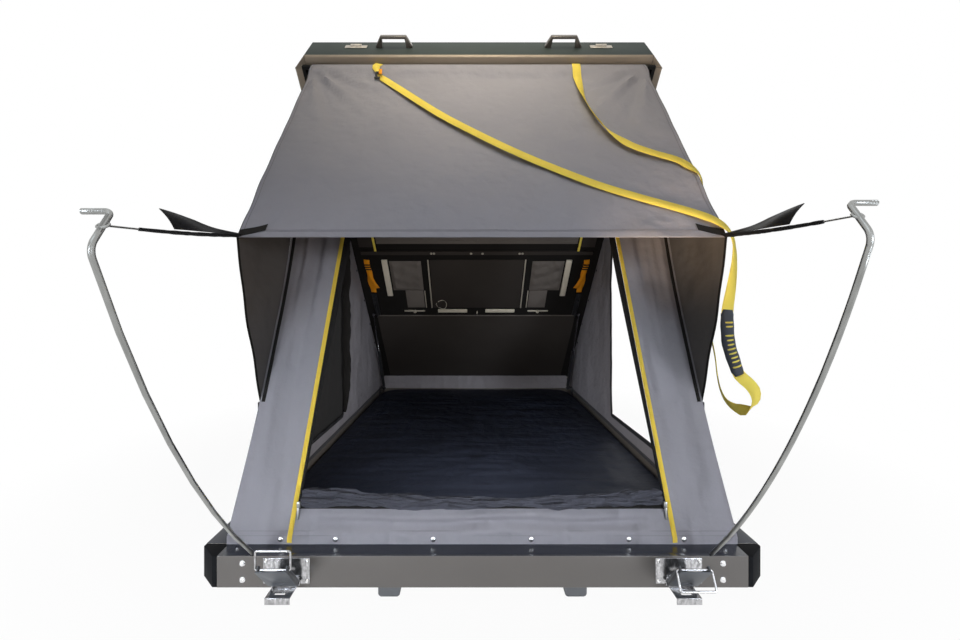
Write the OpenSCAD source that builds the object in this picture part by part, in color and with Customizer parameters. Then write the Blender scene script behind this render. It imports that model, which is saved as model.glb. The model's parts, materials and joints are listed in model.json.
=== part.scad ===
// Hard shell roof top tent, shown pitched: an aluminium base tray and a lid that opens like a clam,
// held by two gas struts, with canvas walls, a propped awning and its pull strap.
// Millimetres. +X to the right, +Y from the entrance to the hinge, +Z up.
// The origin is midway between the four mounting bolts, on the underside of the mounting rails.

/* [Shell] */
// Width over the side profiles
tent_width = 1400; // [1300:10:1600]
// Length over the front and rear profiles
base_length = 2180; // [2100:10:2400]
// Height of the base profile
base_height = 76; // [72:1:95]
// Height of the lid, from its lower band to its top skin
lid_height = 144; // [130:1:180]
// Leg of the 45 degree cut on every corner
corner_cut = 46; // [38:1:46]
// Wall of the aluminium profiles
profile_wall = 3; // [2:0.5:4]
// Ledge left outside the canvas on the base
ledge_depth = 52; // [50:1:60]
// Width of the band under the lid
band_depth = 46; // [46:1:52]
// Height of the hollow band under the lid
band_height = 24; // [20:1:30]
// Bevel on the outer lower edge of the lid band
band_bevel = 6; // [4:1:8]
// Gap between the base ledge and the lid band
seal_gap = 16; // [16:1:20]
// Thickness of the lid's top skin
skin_thickness = 3; // [2:0.5:5]
// Angle at which the lid stands open
open_angle = 43.7; // [41:0.1:46]
// Distance of the hinge axis behind the rear face
hinge_setback = 10; // [9:0.5:14]

/* [Mounting rails] */
// Distance between the two rails
rail_spacing = 460; // [400:10:700]
// Width of a rail
rail_width = 54; // [48:1:70]
// Height of a rail
rail_height = 36; // [30:1:45]
// Wall of a rail
rail_wall = 4; // [3:0.5:5]
// Distance between the bolt holes along a rail
bolt_spacing = 1300; // [900:10:1600]
// Diameter of a bolt hole
bolt_hole = 9; // [7:0.5:11]
// Thickness of a rail end cap
cap_thickness = 6; // [4:1:10]
// Distance of the rail ends behind the base's front and rear faces
rail_setback = 21; // [10:1:40]

/* [Floor and bedding] */
// Thickness of the floor panel
floor_thickness = 8; // [6:1:10]
// Lip on the base profile that carries the floor
floor_lip = 14; // [10:1:20]
// Thickness of that lip
lip_thickness = 2.5; // [2:0.5:4]
// Thickness of the mattress at its edge
mattress_height = 50; // [40:1:54]
// Rise of the mattress towards its middle
mattress_crown = 4; // [1:0.5:6]
// Space between the mattress and the profiles
mattress_gap = 10; // [8:1:20]

/* [Canvas] */
// Thickness of the canvas
canvas = 2; // [1:0.5:3]
// Distance of the canvas from the lid's outer face
lid_inset = 49; // [49:0.5:54]
// Height of the entrance sill
sill_height = 86; // [60:1:140]
// Half width of the entrance at the sill
door_half_low = 486; // [420:1:520]
// Half width of the entrance under the lid
door_half_high = 404; // [340:1:440]
// Amount by which the walls' front corners are drawn in at mid height
waist = 42; // [0:1:55]
// Width of the tape along the entrance
tape_width = 17; // [10:1:25]
// Height of the header strip over the entrance
header_height = 190; // [120:5:260]
// Distance of the window's rear edge behind the front face
window_rear = 1110; // [900:10:1300]
// Diameter of the rolled door on the sill
roll_diameter = 44; // [30:1:60]
// Depth of the folds in the walls
fold_depth = 7; // [0:0.5:12]
// Distance of the awning's corners from the side face
awning_inset = 60; // [55:1:100]
// Distance of the awning's front edge behind the front face
awning_reach = 94; // [60:2:140]
// Height of the awning's front edge over the ledge
awning_height = 783; // [740:1:820]
// Height of the awning gusset's lower point over the ledge
gusset_height = 332; // [280:1:400]

/* [Awning rods] */
// Distance of a rod from the side face
rod_inset = 142; // [130:1:160]
// Diameter of a rod
rod_diameter = 9.5; // [8:0.5:10]
// Distance of a rod's foot behind the front face
rod_foot = 10; // [10:0.5:14]
// Rise of the rod at its foot
rod_start_angle = 44.2; // [42:0.1:46]
// Difference of each rod's lean from that rise, to the front on the left and to the rear on the right
rod_skew = 1.3; // [0:0.1:1.5]
// Radius to which a rod is bowed
rod_bow_radius = 1970; // [1800:10:2400]
// Angle through which a rod is bowed
rod_bow_sweep = 24; // [20:0.5:26]
// Angle of the bend at the top of a rod
rod_tip_bend = 58; // [40:1:60]
// Radius of that bend
rod_tip_radius = 28; // [20:1:35]
// Straight length above that bend
rod_tip_length = 46; // [35:1:60]
// Length of the peg turned outward
rod_peg = 34; // [25:1:45]
// Depth of a rod in its socket
socket_depth = 28; // [20:1:34]

/* [Latches] */
// Distance of a latch from the middle
latch_offset = 473; // [440:1:490]
// Width of a latch plate
latch_width = 112; // [104:1:120]
// Height of a latch plate
latch_height = 61; // [58:1:66]
// Thickness of the latch sheet metal
latch_sheet = 2.5; // [2:0.25:3]
// Distance of the lever pivot in front of the base
pivot_out = 14; // [13:0.5:16]
// Distance of the lever pivot under the ledge
pivot_down = 57; // [54:0.5:58]
// Diameter of the lever pivot pin
latch_pin = 6; // [5:0.5:7]
// Length of a lever
lever_length = 104; // [95:1:115]
// Half width of a lever across its flanges
lever_half = 34; // [32:0.5:36]
// Angle at which the levers stand
lever_angle = 47; // [40:1:52]
// Wire diameter of a bail
bail_wire = 5; // [4:0.5:6]
// Length of a bail
bail_length = 42; // [36:1:46]

/* [Lid handles] */
// Distance of a handle from the middle
handle_offset = 325; // [250:1:350]
// Length of a handle over its feet
handle_length = 140; // [120:1:160]
// Distance by which a handle stands out
handle_reach = 42; // [36:1:50]
// Thickness of the handle bar
handle_bar = 11; // [9:0.5:14]
// Depth of the handle bar
handle_depth = 18; // [14:1:24]

/* [Gas struts] */
// Distance of a strut from the side face
strut_inset = 87; // [86:1:92]
// Distance of the lower pivot from the hinge axis
strut_low_reach = 200; // [180:5:240]
// Distance of the upper pivot from the hinge axis
strut_high_reach = 735; // [720:5:750]
// Height of both pivots over the hinge axis
strut_rise = 6; // [5:0.5:7]
// Diameter of the strut's cylinder
strut_diameter = 20; // [16:1:20]
// Diameter of the strut's rod
strut_rod = 8; // [6:0.5:9]
// Length of the strut's cylinder
strut_body = 320; // [280:5:340]
// Diameter of the strut pivot pins
strut_pin = 8; // [6:0.5:9]

/* [Hinges] */
// Diameter of a hinge knuckle
knuckle = 15; // [13:0.5:15.5]
// Diameter of a hinge pin
hinge_pin = 8; // [6:0.5:9]
// Length of one hinge
hinge_length = 120; // [90:5:150]
// Distance of the outer hinges from the middle
hinge_offset = 480; // [350:10:520]

/* [Ceiling] */
// Recess of the ceiling liner above the lid band
liner_recess = 12; // [12:0.5:15]
// Thickness of the ceiling liner
liner_thickness = 6; // [4:0.5:6]
// Depth of the lights under the liner
light_depth = 10; // [6:1:12]
// Width of an upright light
light_width = 31; // [24:1:36]
// Depth of a ceiling pocket
pocket_depth = 18; // [10:1:20]

/* [Webbing] */
// Width of the pull strap
strap_width = 28; // [20:1:32]
// Thickness of the webbing
webbing = 2; // [1.5:0.25:2.5]
// Diameter of the padded grip
grip_diameter = 32; // [26:1:36]
// Width of the loose webbing tabs
tab_width = 37; // [30:1:50]
// Diameter of the awning ties
tie_diameter = 4; // [3:0.5:6]

/* [Hidden] */
$fn = 48;

// Clearances
seat = 0.3;      // between soft or separate pieces and their seat
running = 0.05;  // radial, between a pin and its hole
slack = 0.5;     // side play of parts that turn past each other

// Main planes and axes
half = tent_width / 2;
front = -base_length / 2;
rear = base_length / 2;
ledge = rail_height + base_height;
lid_low = ledge + seal_gap;
lid_top = lid_low + lid_height;
hinge_y = rear + hinge_setback;
hinge_z = ledge + seal_gap / 2;
track_width = 2.7;
track_height = seal_gap - 2;
hem_inset = ledge_depth + canvas;
track_inset = hem_inset + canvas / 2 + seat;
rail_depth = track_inset + track_width;
inner_half = half - rail_depth;
liner_z = lid_low + liner_recess;
floor_top = rail_height + lip_thickness + floor_thickness;
rod_r = rod_diameter / 2;
rod_offset = half - rod_inset;
strut_offset = half - strut_inset;
awning_half = half - awning_inset;

// Where the lid carries a point that is given with the lid closed, as [y, z]
function opened(y, z) = [
    hinge_y + (y - hinge_y) * cos(open_angle) + (z - hinge_z) * sin(open_angle),
    hinge_z - (y - hinge_y) * sin(open_angle) + (z - hinge_z) * cos(open_angle)];
function lerp(a, b, t) = a + (b - a) * t;
function unit(v) = v / norm(v);

// Turns parts drawn with the lid closed to the open lid
module on_lid() {
    translate([0, hinge_y, hinge_z]) rotate([-open_angle, 0, 0]) translate([0, -hinge_y,
        -hinge_z]) children();
}
module both_sides() {
    children();
    mirror([1, 0, 0]) children();
}
// Extrudes a profile along X: its x is depth to the rear, its y is height
module along_x(length) {
    translate([-length / 2, 0, 0]) rotate([90, 0, 90]) linear_extrude(length) children();
}
// Extrudes a profile along Y: its x is depth to the right, its y is height
module along_y(length) {
    translate([0, length / 2, 0]) rotate([90, 0, 0]) linear_extrude(length) children();
}
// Puts a drawing in the upright plane at x: its x points to the front, its y up, its z to the left
module upright(x, y, z) {
    translate([x, y, z]) rotate([90, 0, -90]) children();
}
// Bar along X, Y or Z, centred on its place
module bar_x(length, r) {
    rotate([0, 90, 0]) cylinder(h = length, r = r, center = true);
}
module bar_y(length, r) {
    rotate([90, 0, 0]) cylinder(h = length, r = r, center = true);
}
module dome(r, h) {
    cylinder(h = h, r1 = r, r2 = r * 0.55);
}

// Thin sheet over a grid of points, with its back shifted by a vector; hole = [i0, i1, j0, j1] leaves
// cells out
module sheet(grid, shift, hole = [0, 0, 0, 0]) {
    ni = len(grid);
    nj = len(grid[0]);
    back = ni * nj;
    function kept(i, j) = i >= 0 && j >= 0 && i < ni - 1 && j < nj - 1
        && !(i >= hole[0] && i < hole[1] && j >= hole[2] && j < hole[3]);
    function at(i, j) = i * nj + j;
    function wall(a, b) = [[a, b, b + back], [a, b + back, a + back]];
    points = [for (row = grid) for (p = row) p];
    faces = [for (i = [0 : ni - 2]) for (j = [0 : nj - 2]) if (kept(i, j)) each concat(
        [[at(i, j), at(i, j + 1), at(i + 1, j + 1)], [at(i, j), at(i + 1, j + 1), at(i + 1, j)]],
        [[at(i, j) + back, at(i + 1, j + 1) + back, at(i, j + 1) + back],
            [at(i, j) + back, at(i + 1, j) + back, at(i + 1, j + 1) + back]],
        kept(i - 1, j) ? [] : wall(at(i, j + 1), at(i, j)),
        kept(i + 1, j) ? [] : wall(at(i + 1, j), at(i + 1, j + 1)),
        kept(i, j - 1) ? [] : wall(at(i, j), at(i + 1, j)),
        kept(i, j + 1) ? [] : wall(at(i + 1, j + 1), at(i, j + 1)))];
    used = [for (i = [0 : ni - 1]) for (j = [0 : nj - 1])
        kept(i, j) || kept(i - 1, j) || kept(i, j - 1) || kept(i - 1, j - 1)];
    spare = [for (k = [0 : len(used) - 1]) if (used[k]) points[k]][0];
    placed = [for (k = [0 : len(points) - 1]) used[k] ? points[k] : spare];
    polyhedron(points = concat(placed, [for (p = placed) p + shift]), faces = faces);
}

// Closed tube through rings of points
module tube(rings) {
    n = len(rings[0]);
    last = len(rings) - 1;
    sides = [for (k = [0 : last - 1]) for (j = [0 : n - 1]) let (m = (j + 1) % n) each [
        [k * n + j, (k + 1) * n + j, (k + 1) * n + m], [k * n + j, (k + 1) * n + m, k * n + m]]];
    ends = [for (j = [1 : n - 2]) each [[0, j, j + 1], [last * n, last * n + j + 1, last * n + j]]];
    polyhedron(points = [for (r = rings) each r], faces = concat(sides, ends));
}
function heading(path, i) = unit(path[min(i + 1, len(path) - 1)] - path[max(i - 1, 0)]);
function round_ring(p, t, up, r, sides) = let (a = unit(cross(up, t)), b = cross(t, a))
    [for (k = [0 : sides - 1]) p + r * (cos(360 * k / sides) * a + sin(360 * k / sides) * b)];
function flat_ring(p, t, n, w, h) = let (a = unit(cross(t, n)) * w / 2, b = unit(cross(t, a)) * h / 2)
    [p + a + b, p - a + b, p - a - b, p + a - b];

// Base tray
module base_profile() {
    difference() {
        polygon([[0, 0], [rail_depth + floor_lip, 0], [rail_depth + floor_lip, lip_thickness],
            [rail_depth, lip_thickness], [rail_depth, base_height], [0, base_height]]);
        translate([profile_wall, profile_wall])
            square([rail_depth - 2 * profile_wall, base_height - 2 * profile_wall]);
    }
}
module end_rail() {
    difference() {
        translate([0, front, rail_height]) along_x(2 * inner_half) base_profile();
        both_sides() translate([inner_half - floor_lip - seat, front + rail_depth, rail_height - 1])
            cube([floor_lip + 1, floor_lip + 1, lip_thickness + 2]);
    }
}
// Rise of the rod on the left, side -1, or on the right, side 1
function rod_angle(side) = rod_start_angle + side * rod_skew;
module rod_axis(side) {
    upright(side * rod_offset, front + rod_foot, ledge) rotate([0, 0, rod_angle(side)]) rotate([0, 90, 0])
        children();
}
module base_front_rail() {
    color("#6e6862") difference() {
        end_rail();
        for (side = [-1, 1]) rod_axis(side)
            cylinder(h = 8 * profile_wall, r = rod_r + seat, center = true);
    }
}
module base_rear_rail() {
    color("#6e6862") mirror([0, 1, 0]) end_rail();
}
module side_rail() {
    translate([-half, 0, rail_height]) along_y(base_length - 2 * rail_depth) base_profile();
}
module base_left_rail() {
    color("#6e6862") side_rail();
}
module base_right_rail() {
    color("#6e6862") mirror([1, 0, 0]) side_rail();
}
tenon_length = 40;
module corner_casting() {
    tenon = [rail_depth - 2 * (profile_wall + seat), base_height - 2 * (profile_wall + seat)];
    translate([-half, front, rail_height]) {
        linear_extrude(base_height) polygon([[corner_cut, 0], [rail_depth, 0], [rail_depth, rail_depth],
            [0, rail_depth], [0, corner_cut]]);
        translate([rail_depth - 1, profile_wall + seat, profile_wall + seat])
            cube([tenon_length + 1, tenon[0], tenon[1]]);
        translate([profile_wall + seat, rail_depth - 1, profile_wall + seat])
            cube([tenon[0], tenon_length + 1, tenon[1]]);
    }
}
module base_corners() {
    color("#141414") both_sides() {
        corner_casting();
        mirror([0, 1, 0]) corner_casting();
    }
}
module base_floor() {
    span = 2 * (inner_half - seat);
    length = base_length - 2 * (rail_depth + seat);
    color("#8c8c8c") translate([-span / 2, -length / 2, rail_height + lip_thickness])
        cube([span, length, floor_thickness]);
}
module tent_track() {
    long = base_length - 2 * (track_inset + track_width + seat);
    color("#2b2d31") {
        both_sides() translate([half - track_inset - track_width, -long / 2, ledge])
            cube([track_width, long, track_height]);
        for (m = [0, 1]) mirror([0, m, 0]) translate([-half + track_inset, front + track_inset, ledge])
            cube([tent_width - 2 * track_inset, track_width, track_height]);
    }
}
screw_offset = half - 119;
screw_heights = [0.24, 0.76];
module corner_screws() {
    color("#c9c9c6") both_sides() for (m = [0, 1]) for (h = screw_heights) mirror([0, m, 0])
        translate([screw_offset, front, rail_height + base_height * h]) rotate([90, 0, 0]) dome(8, 4);
}

// Mounting rails
module mounting_profile(inset = 0) {
    w = rail_width / 2 - inset;
    round = 9 - inset;
    difference() {
        translate([-w, inset]) square([2 * w, rail_height - 2 * inset]);
        for (s = [-1, 1]) translate([s * (w - round), inset + round]) difference() {
            translate([min(0, s * (round + 1)), -round - 1]) square([round + 1, round + 1]);
            circle(round);
        }
    }
}
module mounting_rail(x) {
    color("#1d1d1f") difference() {
        translate([x, 0, 0]) along_y(base_length - 2 * rail_setback - 2 * cap_thickness) difference() {
            mounting_profile();
            mounting_profile(rail_wall);
        }
        for (s = [-1, 1]) translate([x, s * bolt_spacing / 2, -1])
            cylinder(h = rail_wall + 2, d = bolt_hole);
    }
}
module mounting_rail_left() {
    mounting_rail(-rail_spacing / 2);
}
module mounting_rail_right() {
    mounting_rail(rail_spacing / 2);
}
module rail_end_caps() {
    plug = 12;
    color("#0f0f10") both_sides() for (m = [0, 1]) mirror([0, m, 0])
        translate([rail_spacing / 2, front + rail_setback, 0]) {
            translate([0, cap_thickness / 2, 0]) along_y(cap_thickness) mounting_profile();
            translate([0, cap_thickness + plug / 2 - 0.5, 0]) along_y(plug + 1)
                mounting_profile(rail_wall + seat);
        }
}

// Mattress: stacked loops, drawn in at the sides and crowned on top
function mattress_loop(inset, z) = let (hx = inner_half - mattress_gap - inset,
    hy = base_length / 2 - rail_depth - mattress_gap - inset, n = 56, sharp = 0.16)
    [for (k = [0 : n - 1]) let (a = 360 * (k + 0.5) / n)
        [hx * sign(cos(a)) * pow(abs(cos(a)), sharp), hy * sign(sin(a)) * pow(abs(sin(a)), sharp), z]];
module mattress() {
    low = floor_top + seat;
    high = low + mattress_height;
    levels = [[12, low], [3, low + 4], [0, low + 10], [4, lerp(low, high, 0.5)], [0, high - 12],
        [3, high - 4], [14, high], [60, high + mattress_crown * 0.3], [180, high + mattress_crown * 0.7],
        [420, high + mattress_crown]];
    color("#12141c") tube([for (l = levels) mattress_loop(l[0], l[1])]);
}

// Awning rods and their sockets
module rod_sockets() {
    wall = 3;
    color("#3a3a3c") for (side = [-1, 1]) intersection() {
        rod_axis(side) mirror([0, 0, 1]) difference() {
            cylinder(h = socket_depth + wall, r = rod_r + running + wall);
            translate([0, 0, -1]) cylinder(h = socket_depth + 1 + seat, r = rod_r + running);
        }
        translate([-half, front + profile_wall, rail_height])
            cube([tent_width, rail_depth, base_height - profile_wall]);
    }
}
bow_start = 14;
module rod_arc(at, angle, sweep, radius) {
    translate([at[0] - radius * sin(angle), at[1] + radius * cos(angle), 0]) rotate([0, 0, angle - 90])
        rotate_extrude(angle = sweep, $fn = 96) translate([radius, 0]) circle(rod_r, $fn = 32);
}
function after_arc(at, angle, sweep, radius) = [
    at[0] + radius * (sin(angle + sweep) - sin(angle)),
    at[1] + radius * (cos(angle) - cos(angle + sweep))];
// Points of a rod with the rise a at its foot: start of the bow, start and end of the tip's bend, tip
function rod_bow(a) = bow_start * [cos(a), sin(a)];
function rod_bend(a) = after_arc(rod_bow(a), a, rod_bow_sweep, rod_bow_radius);
function rod_back_angle(a) = a + rod_bow_sweep + rod_tip_bend;
function rod_back(a) = after_arc(rod_bend(a), a + rod_bow_sweep, rod_tip_bend, rod_tip_radius);
function rod_tip(a) = rod_back(a) + rod_tip_length * [cos(rod_back_angle(a)), sin(rod_back_angle(a))];
module awning_rod(a) {
    elbow = 10;
    back = rod_back(a);
    tip = rod_tip(a);
    slope = rod_back_angle(a);
    upright(-rod_offset, front + rod_foot, ledge) {
        rotate([0, 0, a]) rotate([0, 90, 0]) translate([0, 0, -socket_depth])
            cylinder(h = socket_depth + bow_start, r = rod_r, $fn = 32);
        rod_arc(rod_bow(a), a, rod_bow_sweep, rod_bow_radius);
        rod_arc(rod_bend(a), a + rod_bow_sweep, rod_tip_bend, rod_tip_radius);
        translate([back[0], back[1], 0]) rotate([0, 0, slope]) rotate([0, 90, 0])
            cylinder(h = rod_tip_length, r = rod_r, $fn = 32);
        translate([tip[0], tip[1], elbow]) rotate([0, 0, slope - 90]) rotate([0, 90, 0])
            rotate_extrude(angle = 90) translate([elbow, 0]) circle(rod_r, $fn = 32);
        translate([tip[0] + elbow * cos(slope), tip[1] + elbow * sin(slope), elbow])
            cylinder(h = rod_peg, r = rod_r, $fn = 32);
    }
}
module awning_rod_left() {
    color("#b9b8b0") awning_rod(rod_angle(-1));
}
module awning_rod_right() {
    color("#b9b8b0") mirror([1, 0, 0]) awning_rod(rod_angle(1));
}

// Latches: plate with ears, pin and padlock flange; lever; wire bail
ear_thickness = 3;
ear_half = lever_half - ear_thickness - slack;
hasp_reach = 58;
hasp_width = 58;
latch_edge = 4;
module latch_plate(x) {
    color("#b8b9bb") translate([x, front, ledge]) {
        translate([-latch_width / 2, -latch_sheet, -latch_edge - latch_height])
            cube([latch_width, latch_sheet, latch_height]);
        for (s = [0, 1]) mirror([s, 0, 0]) translate([ear_half - ear_thickness, -pivot_out, -pivot_down]) {
            rotate([0, 90, 0]) cylinder(h = ear_thickness, r = latch_pin / 2 + 4);
            translate([0, 0, -latch_pin / 2 - 4]) cube([ear_thickness, pivot_out - latch_sheet / 2,
                latch_pin + 8]);
        }
        translate([0, -pivot_out, -pivot_down]) bar_x(2 * (lever_half + 2.5), latch_pin / 2);
        for (s = [-1, 1]) translate([s * (lever_half + 2), -pivot_out, -pivot_down])
            bar_x(3, latch_pin / 2 + 1.5);
        translate([-hasp_width / 2, -hasp_reach, -latch_edge - latch_height - latch_sheet]) difference() {
            cube([hasp_width, hasp_reach, latch_sheet]);
            translate([hasp_width / 2 - 12, 14, -1]) cube([24, 7, latch_sheet + 2]);
        }
        translate([-hasp_width / 2, -hasp_reach, -latch_edge - latch_height - 15])
            cube([hasp_width, latch_sheet, 14]);
    }
}
module latch_left_plate() {
    latch_plate(-latch_offset);
}
module latch_right_plate() {
    latch_plate(latch_offset);
}
module latch_bolts() {
    inset = 6.5;
    color("#d8d8d6") both_sides() for (sx = [-1, 1]) for (h = [inset, latch_height - inset])
        translate([latch_offset + sx * (latch_width / 2 - inset), front - latch_sheet,
            ledge - latch_edge - h])
            rotate([90, 0, 0]) dome(5, 4);
}
flange = 6;
bail_at = lever_length - 8;
module at_lever(x) {
    upright(x, front - pivot_out, ledge - pivot_down) rotate([0, 0, lever_angle]) children();
}
module latch_lever(x) {
    pivot_r = latch_pin / 2 + running;
    inner = lever_half - ear_thickness;
    color("#4a4c50") at_lever(x) {
        for (s = [0, 1]) mirror([0, 0, s]) translate([0, 0, inner]) difference() {
            union() {
                cylinder(h = ear_thickness, r = flange + 0.5);
                translate([0, -flange, 0]) cube([lever_length, 2 * flange, ear_thickness]);
            }
            translate([0, 0, -1]) cylinder(h = ear_thickness + 2, r = pivot_r);
            translate([bail_at, 0, -1]) cylinder(h = ear_thickness + 2, r = bail_wire / 2 + running);
        }
        translate([0, -flange, 0]) rotate([90, 0, 0]) linear_extrude(latch_sheet) difference() {
            polygon([[8, -lever_half], [lever_length, -lever_half - 2], [lever_length, lever_half + 2],
                [8, lever_half]]);
            translate([26, -12]) square([6, 24]);
        }
    }
}
module latch_left_lever() {
    latch_lever(-latch_offset);
}
module latch_right_lever() {
    latch_lever(latch_offset);
}
module bail(x, angle) {
    r = bail_wire / 2;
    side = lever_half + 5.5;
    round = 5;
    color("#d5d5d2") at_lever(x) translate([bail_at, 0, 0]) rotate([0, 0, angle]) {
        cylinder(h = 2 * (side - round), r = r, center = true, $fn = 24);
        translate([bail_length, 0, 0]) cylinder(h = 2 * (side - round), r = r, center = true, $fn = 24);
        for (s = [0, 1]) mirror([0, 0, s]) {
            translate([round, 0, side]) rotate([0, 90, 0]) cylinder(h = bail_length - 2 * round, r = r,
                $fn = 24);
            for (e = [[round, 180], [bail_length - round, 270]]) translate([e[0], 0, side - round])
                rotate([90, 0, 0]) mirror([0, 1, 0]) rotate([0, 0, e[1]])
                    rotate_extrude(angle = 90) translate([round, 0]) circle(r, $fn = 24);
        }
    }
}
bail_up = 90 - lever_angle;
bail_hanging = -59 - lever_angle;
module latch_left_bail() {
    bail(-latch_offset, bail_up);
}
module latch_right_bail() {
    bail(latch_offset, bail_hanging);
}

// Hinges
leaf = 3;
leaf_height = 38;
knuckle_gap = 0.5;
lid_knuckle = hinge_length * 0.4;
base_knuckle = (hinge_length - lid_knuckle) / 2 - knuckle_gap;
hinge_places = [-hinge_offset, 0, hinge_offset];
module knuckle_x(length) {
    rotate([0, 90, 0]) difference() {
        cylinder(h = length, d = knuckle);
        translate([0, 0, -1]) cylinder(h = length + 2, r = hinge_pin / 2 + running);
    }
}
module hinge_leaf(length, start, up) {
    from = up ? hinge_z + seal_gap / 2 : ledge - leaf_height;
    translate([start, rear, from]) cube([length, leaf, leaf_height]);
}
module hinge_web(length, up) {
    web = knuckle / 2 - 0.5;
    low = up ? 0 : -seal_gap / 2 - 1;
    difference() {
        translate([0, -hinge_setback, low]) cube([length, leaf, seal_gap / 2 + 1]);
        translate([-1, 0, 0]) rotate([0, 90, 0]) cylinder(h = length + 2, r = web);
    }
    difference() {
        translate([0, -hinge_setback, -leaf / 2]) cube([length, hinge_setback, leaf]);
        translate([-1, 0, 0]) rotate([0, 90, 0]) cylinder(h = length + 2, r = web);
    }
}
module hinge_base_leaves() {
    color("#232325") for (x = hinge_places) {
        hinge_leaf(hinge_length, x - hinge_length / 2, false);
        for (start = [x - hinge_length / 2, x + hinge_length / 2 - base_knuckle])
            translate([start, hinge_y, hinge_z]) {
                knuckle_x(base_knuckle);
                hinge_web(base_knuckle, false);
            }
    }
}
module hinge_lid_leaves() {
    color("#232325") on_lid() for (x = hinge_places) {
        hinge_leaf(hinge_length, x - hinge_length / 2, true);
        translate([x - lid_knuckle / 2, hinge_y, hinge_z]) {
            knuckle_x(lid_knuckle);
            hinge_web(lid_knuckle, true);
        }
    }
}
module hinge_pins() {
    color("#9a9a98") for (x = hinge_places) translate([x, hinge_y, hinge_z]) {
        bar_x(hinge_length + 4, hinge_pin / 2);
        for (s = [-1, 1]) translate([s * (hinge_length / 2 + 1.5), 0, 0]) bar_x(2, hinge_pin / 2 + 1.5);
    }
}

// Gas struts
strut_low = [hinge_y - strut_low_reach, hinge_z + strut_rise];
strut_high = opened(hinge_y - strut_high_reach, hinge_z + strut_rise);
strut_run = strut_low[0] - strut_high[0];
strut_climb = strut_high[1] - strut_low[1];
strut_angle = atan2(strut_climb, strut_run);
strut_open = norm([strut_run, strut_climb]);
eye_width = 14;
module along_strut(x) {
    upright(x, strut_low[0], strut_low[1]) rotate([0, 0, strut_angle]) children();
}
module strut_cylinder(x) {
    gland = 15;
    bore = strut_diameter / 2 - 2;
    color("#1a1a1b") along_strut(x) difference() {
        union() {
            cylinder(h = eye_width, r = strut_pin / 2 + 6, center = true);
            rotate([0, 90, 0]) cylinder(h = 26, r = 6);
            translate([24, 0, 0]) rotate([0, 90, 0]) cylinder(h = strut_body - 24, d = strut_diameter);
        }
        cylinder(h = eye_width + 2, r = strut_pin / 2 + running, center = true);
        translate([40, 0, 0]) rotate([0, 90, 0]) cylinder(h = strut_body - 40 - gland, r = bore);
        translate([strut_body - gland - 1, 0, 0]) rotate([0, 90, 0])
            cylinder(h = gland + 2, r = strut_rod / 2 + running);
    }
}
module strut_rod_end(x) {
    piston_at = strut_body - 40;
    color("#c4c4c4") along_strut(x) {
        translate([piston_at, 0, 0]) rotate([0, 90, 0]) cylinder(h = 14,
            r = strut_diameter / 2 - 2 - 2 * running);
        translate([piston_at, 0, 0]) rotate([0, 90, 0]) cylinder(h = strut_open - piston_at, d = strut_rod);
        translate([strut_open, 0, 0]) cylinder(h = eye_width - 2, r = strut_pin / 2 + 6, center = true);
    }
}
module strut_left_cylinder() {
    strut_cylinder(-strut_offset);
}
module strut_right_cylinder() {
    strut_cylinder(strut_offset);
}
module strut_left_rod() {
    strut_rod_end(-strut_offset);
}
module strut_right_rod() {
    strut_rod_end(strut_offset);
}
module strut_base_brackets() {
    plate = 3.5;
    drop = 56;
    color("#17171a") both_sides() {
        translate([inner_half - plate, strut_low[0] - 28, ledge - drop]) cube([plate, 56, drop + 14]);
        translate([inner_half - plate, strut_low[0], strut_low[1]]) rotate([0, 90, 0])
            cylinder(h = plate, r = 12);
        translate([0, strut_low[0], strut_low[1]]) {
            head = strut_offset - eye_width / 2 - slack;
            rotate([0, 90, 0]) translate([0, 0,
                head - 3]) cylinder(h = inner_half - head + 3 - plate / 2, d = strut_pin);
            rotate([0, 90, 0]) translate([0, 0, head - 3]) cylinder(h = 3, r = strut_pin / 2 + 2.5);
        }
    }
}
bracket_length = 185;
module lid_strut_brackets() {
    web = 5;
    pin_end = strut_offset - (eye_width - 2) / 2 - seat;
    high_y = hinge_y - strut_high_reach;
    high_z = hinge_z + strut_rise;
    bracket_y = high_y + 20 - bracket_length;
    web_low = high_z - 8;
    color("#101012") on_lid() both_sides() {
        translate([strut_offset - 37, bracket_y, liner_z - 4]) cube([28, bracket_length, 4]);
        translate([strut_offset - 24, bracket_y + 90, web_low])
            cube([web, bracket_length - 90, liner_z - 3 - web_low]);
        translate([strut_offset - 24, high_y, high_z]) rotate([0, 90, 0])
            cylinder(h = pin_end - strut_offset + 24, d = strut_pin);
        for (d = [24, 60]) translate([strut_offset - 19, bracket_y + d, liner_z - 8])
            cylinder(h = 5, r = 8);
    }
}

// Lid shell, drawn closed
module lid_profile() {
    w = profile_wall;
    top = lid_height - skin_thickness;
    difference() {
        polygon([[band_bevel, 0], [band_depth, 0], [band_depth, band_height], [w, band_height], [w, top],
            [0, top], [0, band_bevel]]);
        polygon([[band_bevel + 1, w], [band_depth - w, w], [band_depth - w, band_height - w],
            [w, band_height - w], [w, band_bevel + 1]]);
    }
}
module lid_end_rail() {
    translate([0, front, lid_low]) along_x(tent_width - 2 * band_depth) lid_profile();
}
module lid_side_rail() {
    translate([-half, 0, lid_low]) along_y(base_length - 2 * band_depth) lid_profile();
}
module lid_front_rail() {
    color("#4d5a5c") on_lid() lid_end_rail();
}
module lid_rear_rail() {
    color("#4d5a5c") on_lid() mirror([0, 1, 0]) lid_end_rail();
}
module lid_left_rail() {
    color("#4d5a5c") on_lid() lid_side_rail();
}
module lid_right_rail() {
    color("#4d5a5c") on_lid() mirror([1, 0, 0]) lid_side_rail();
}
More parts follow.
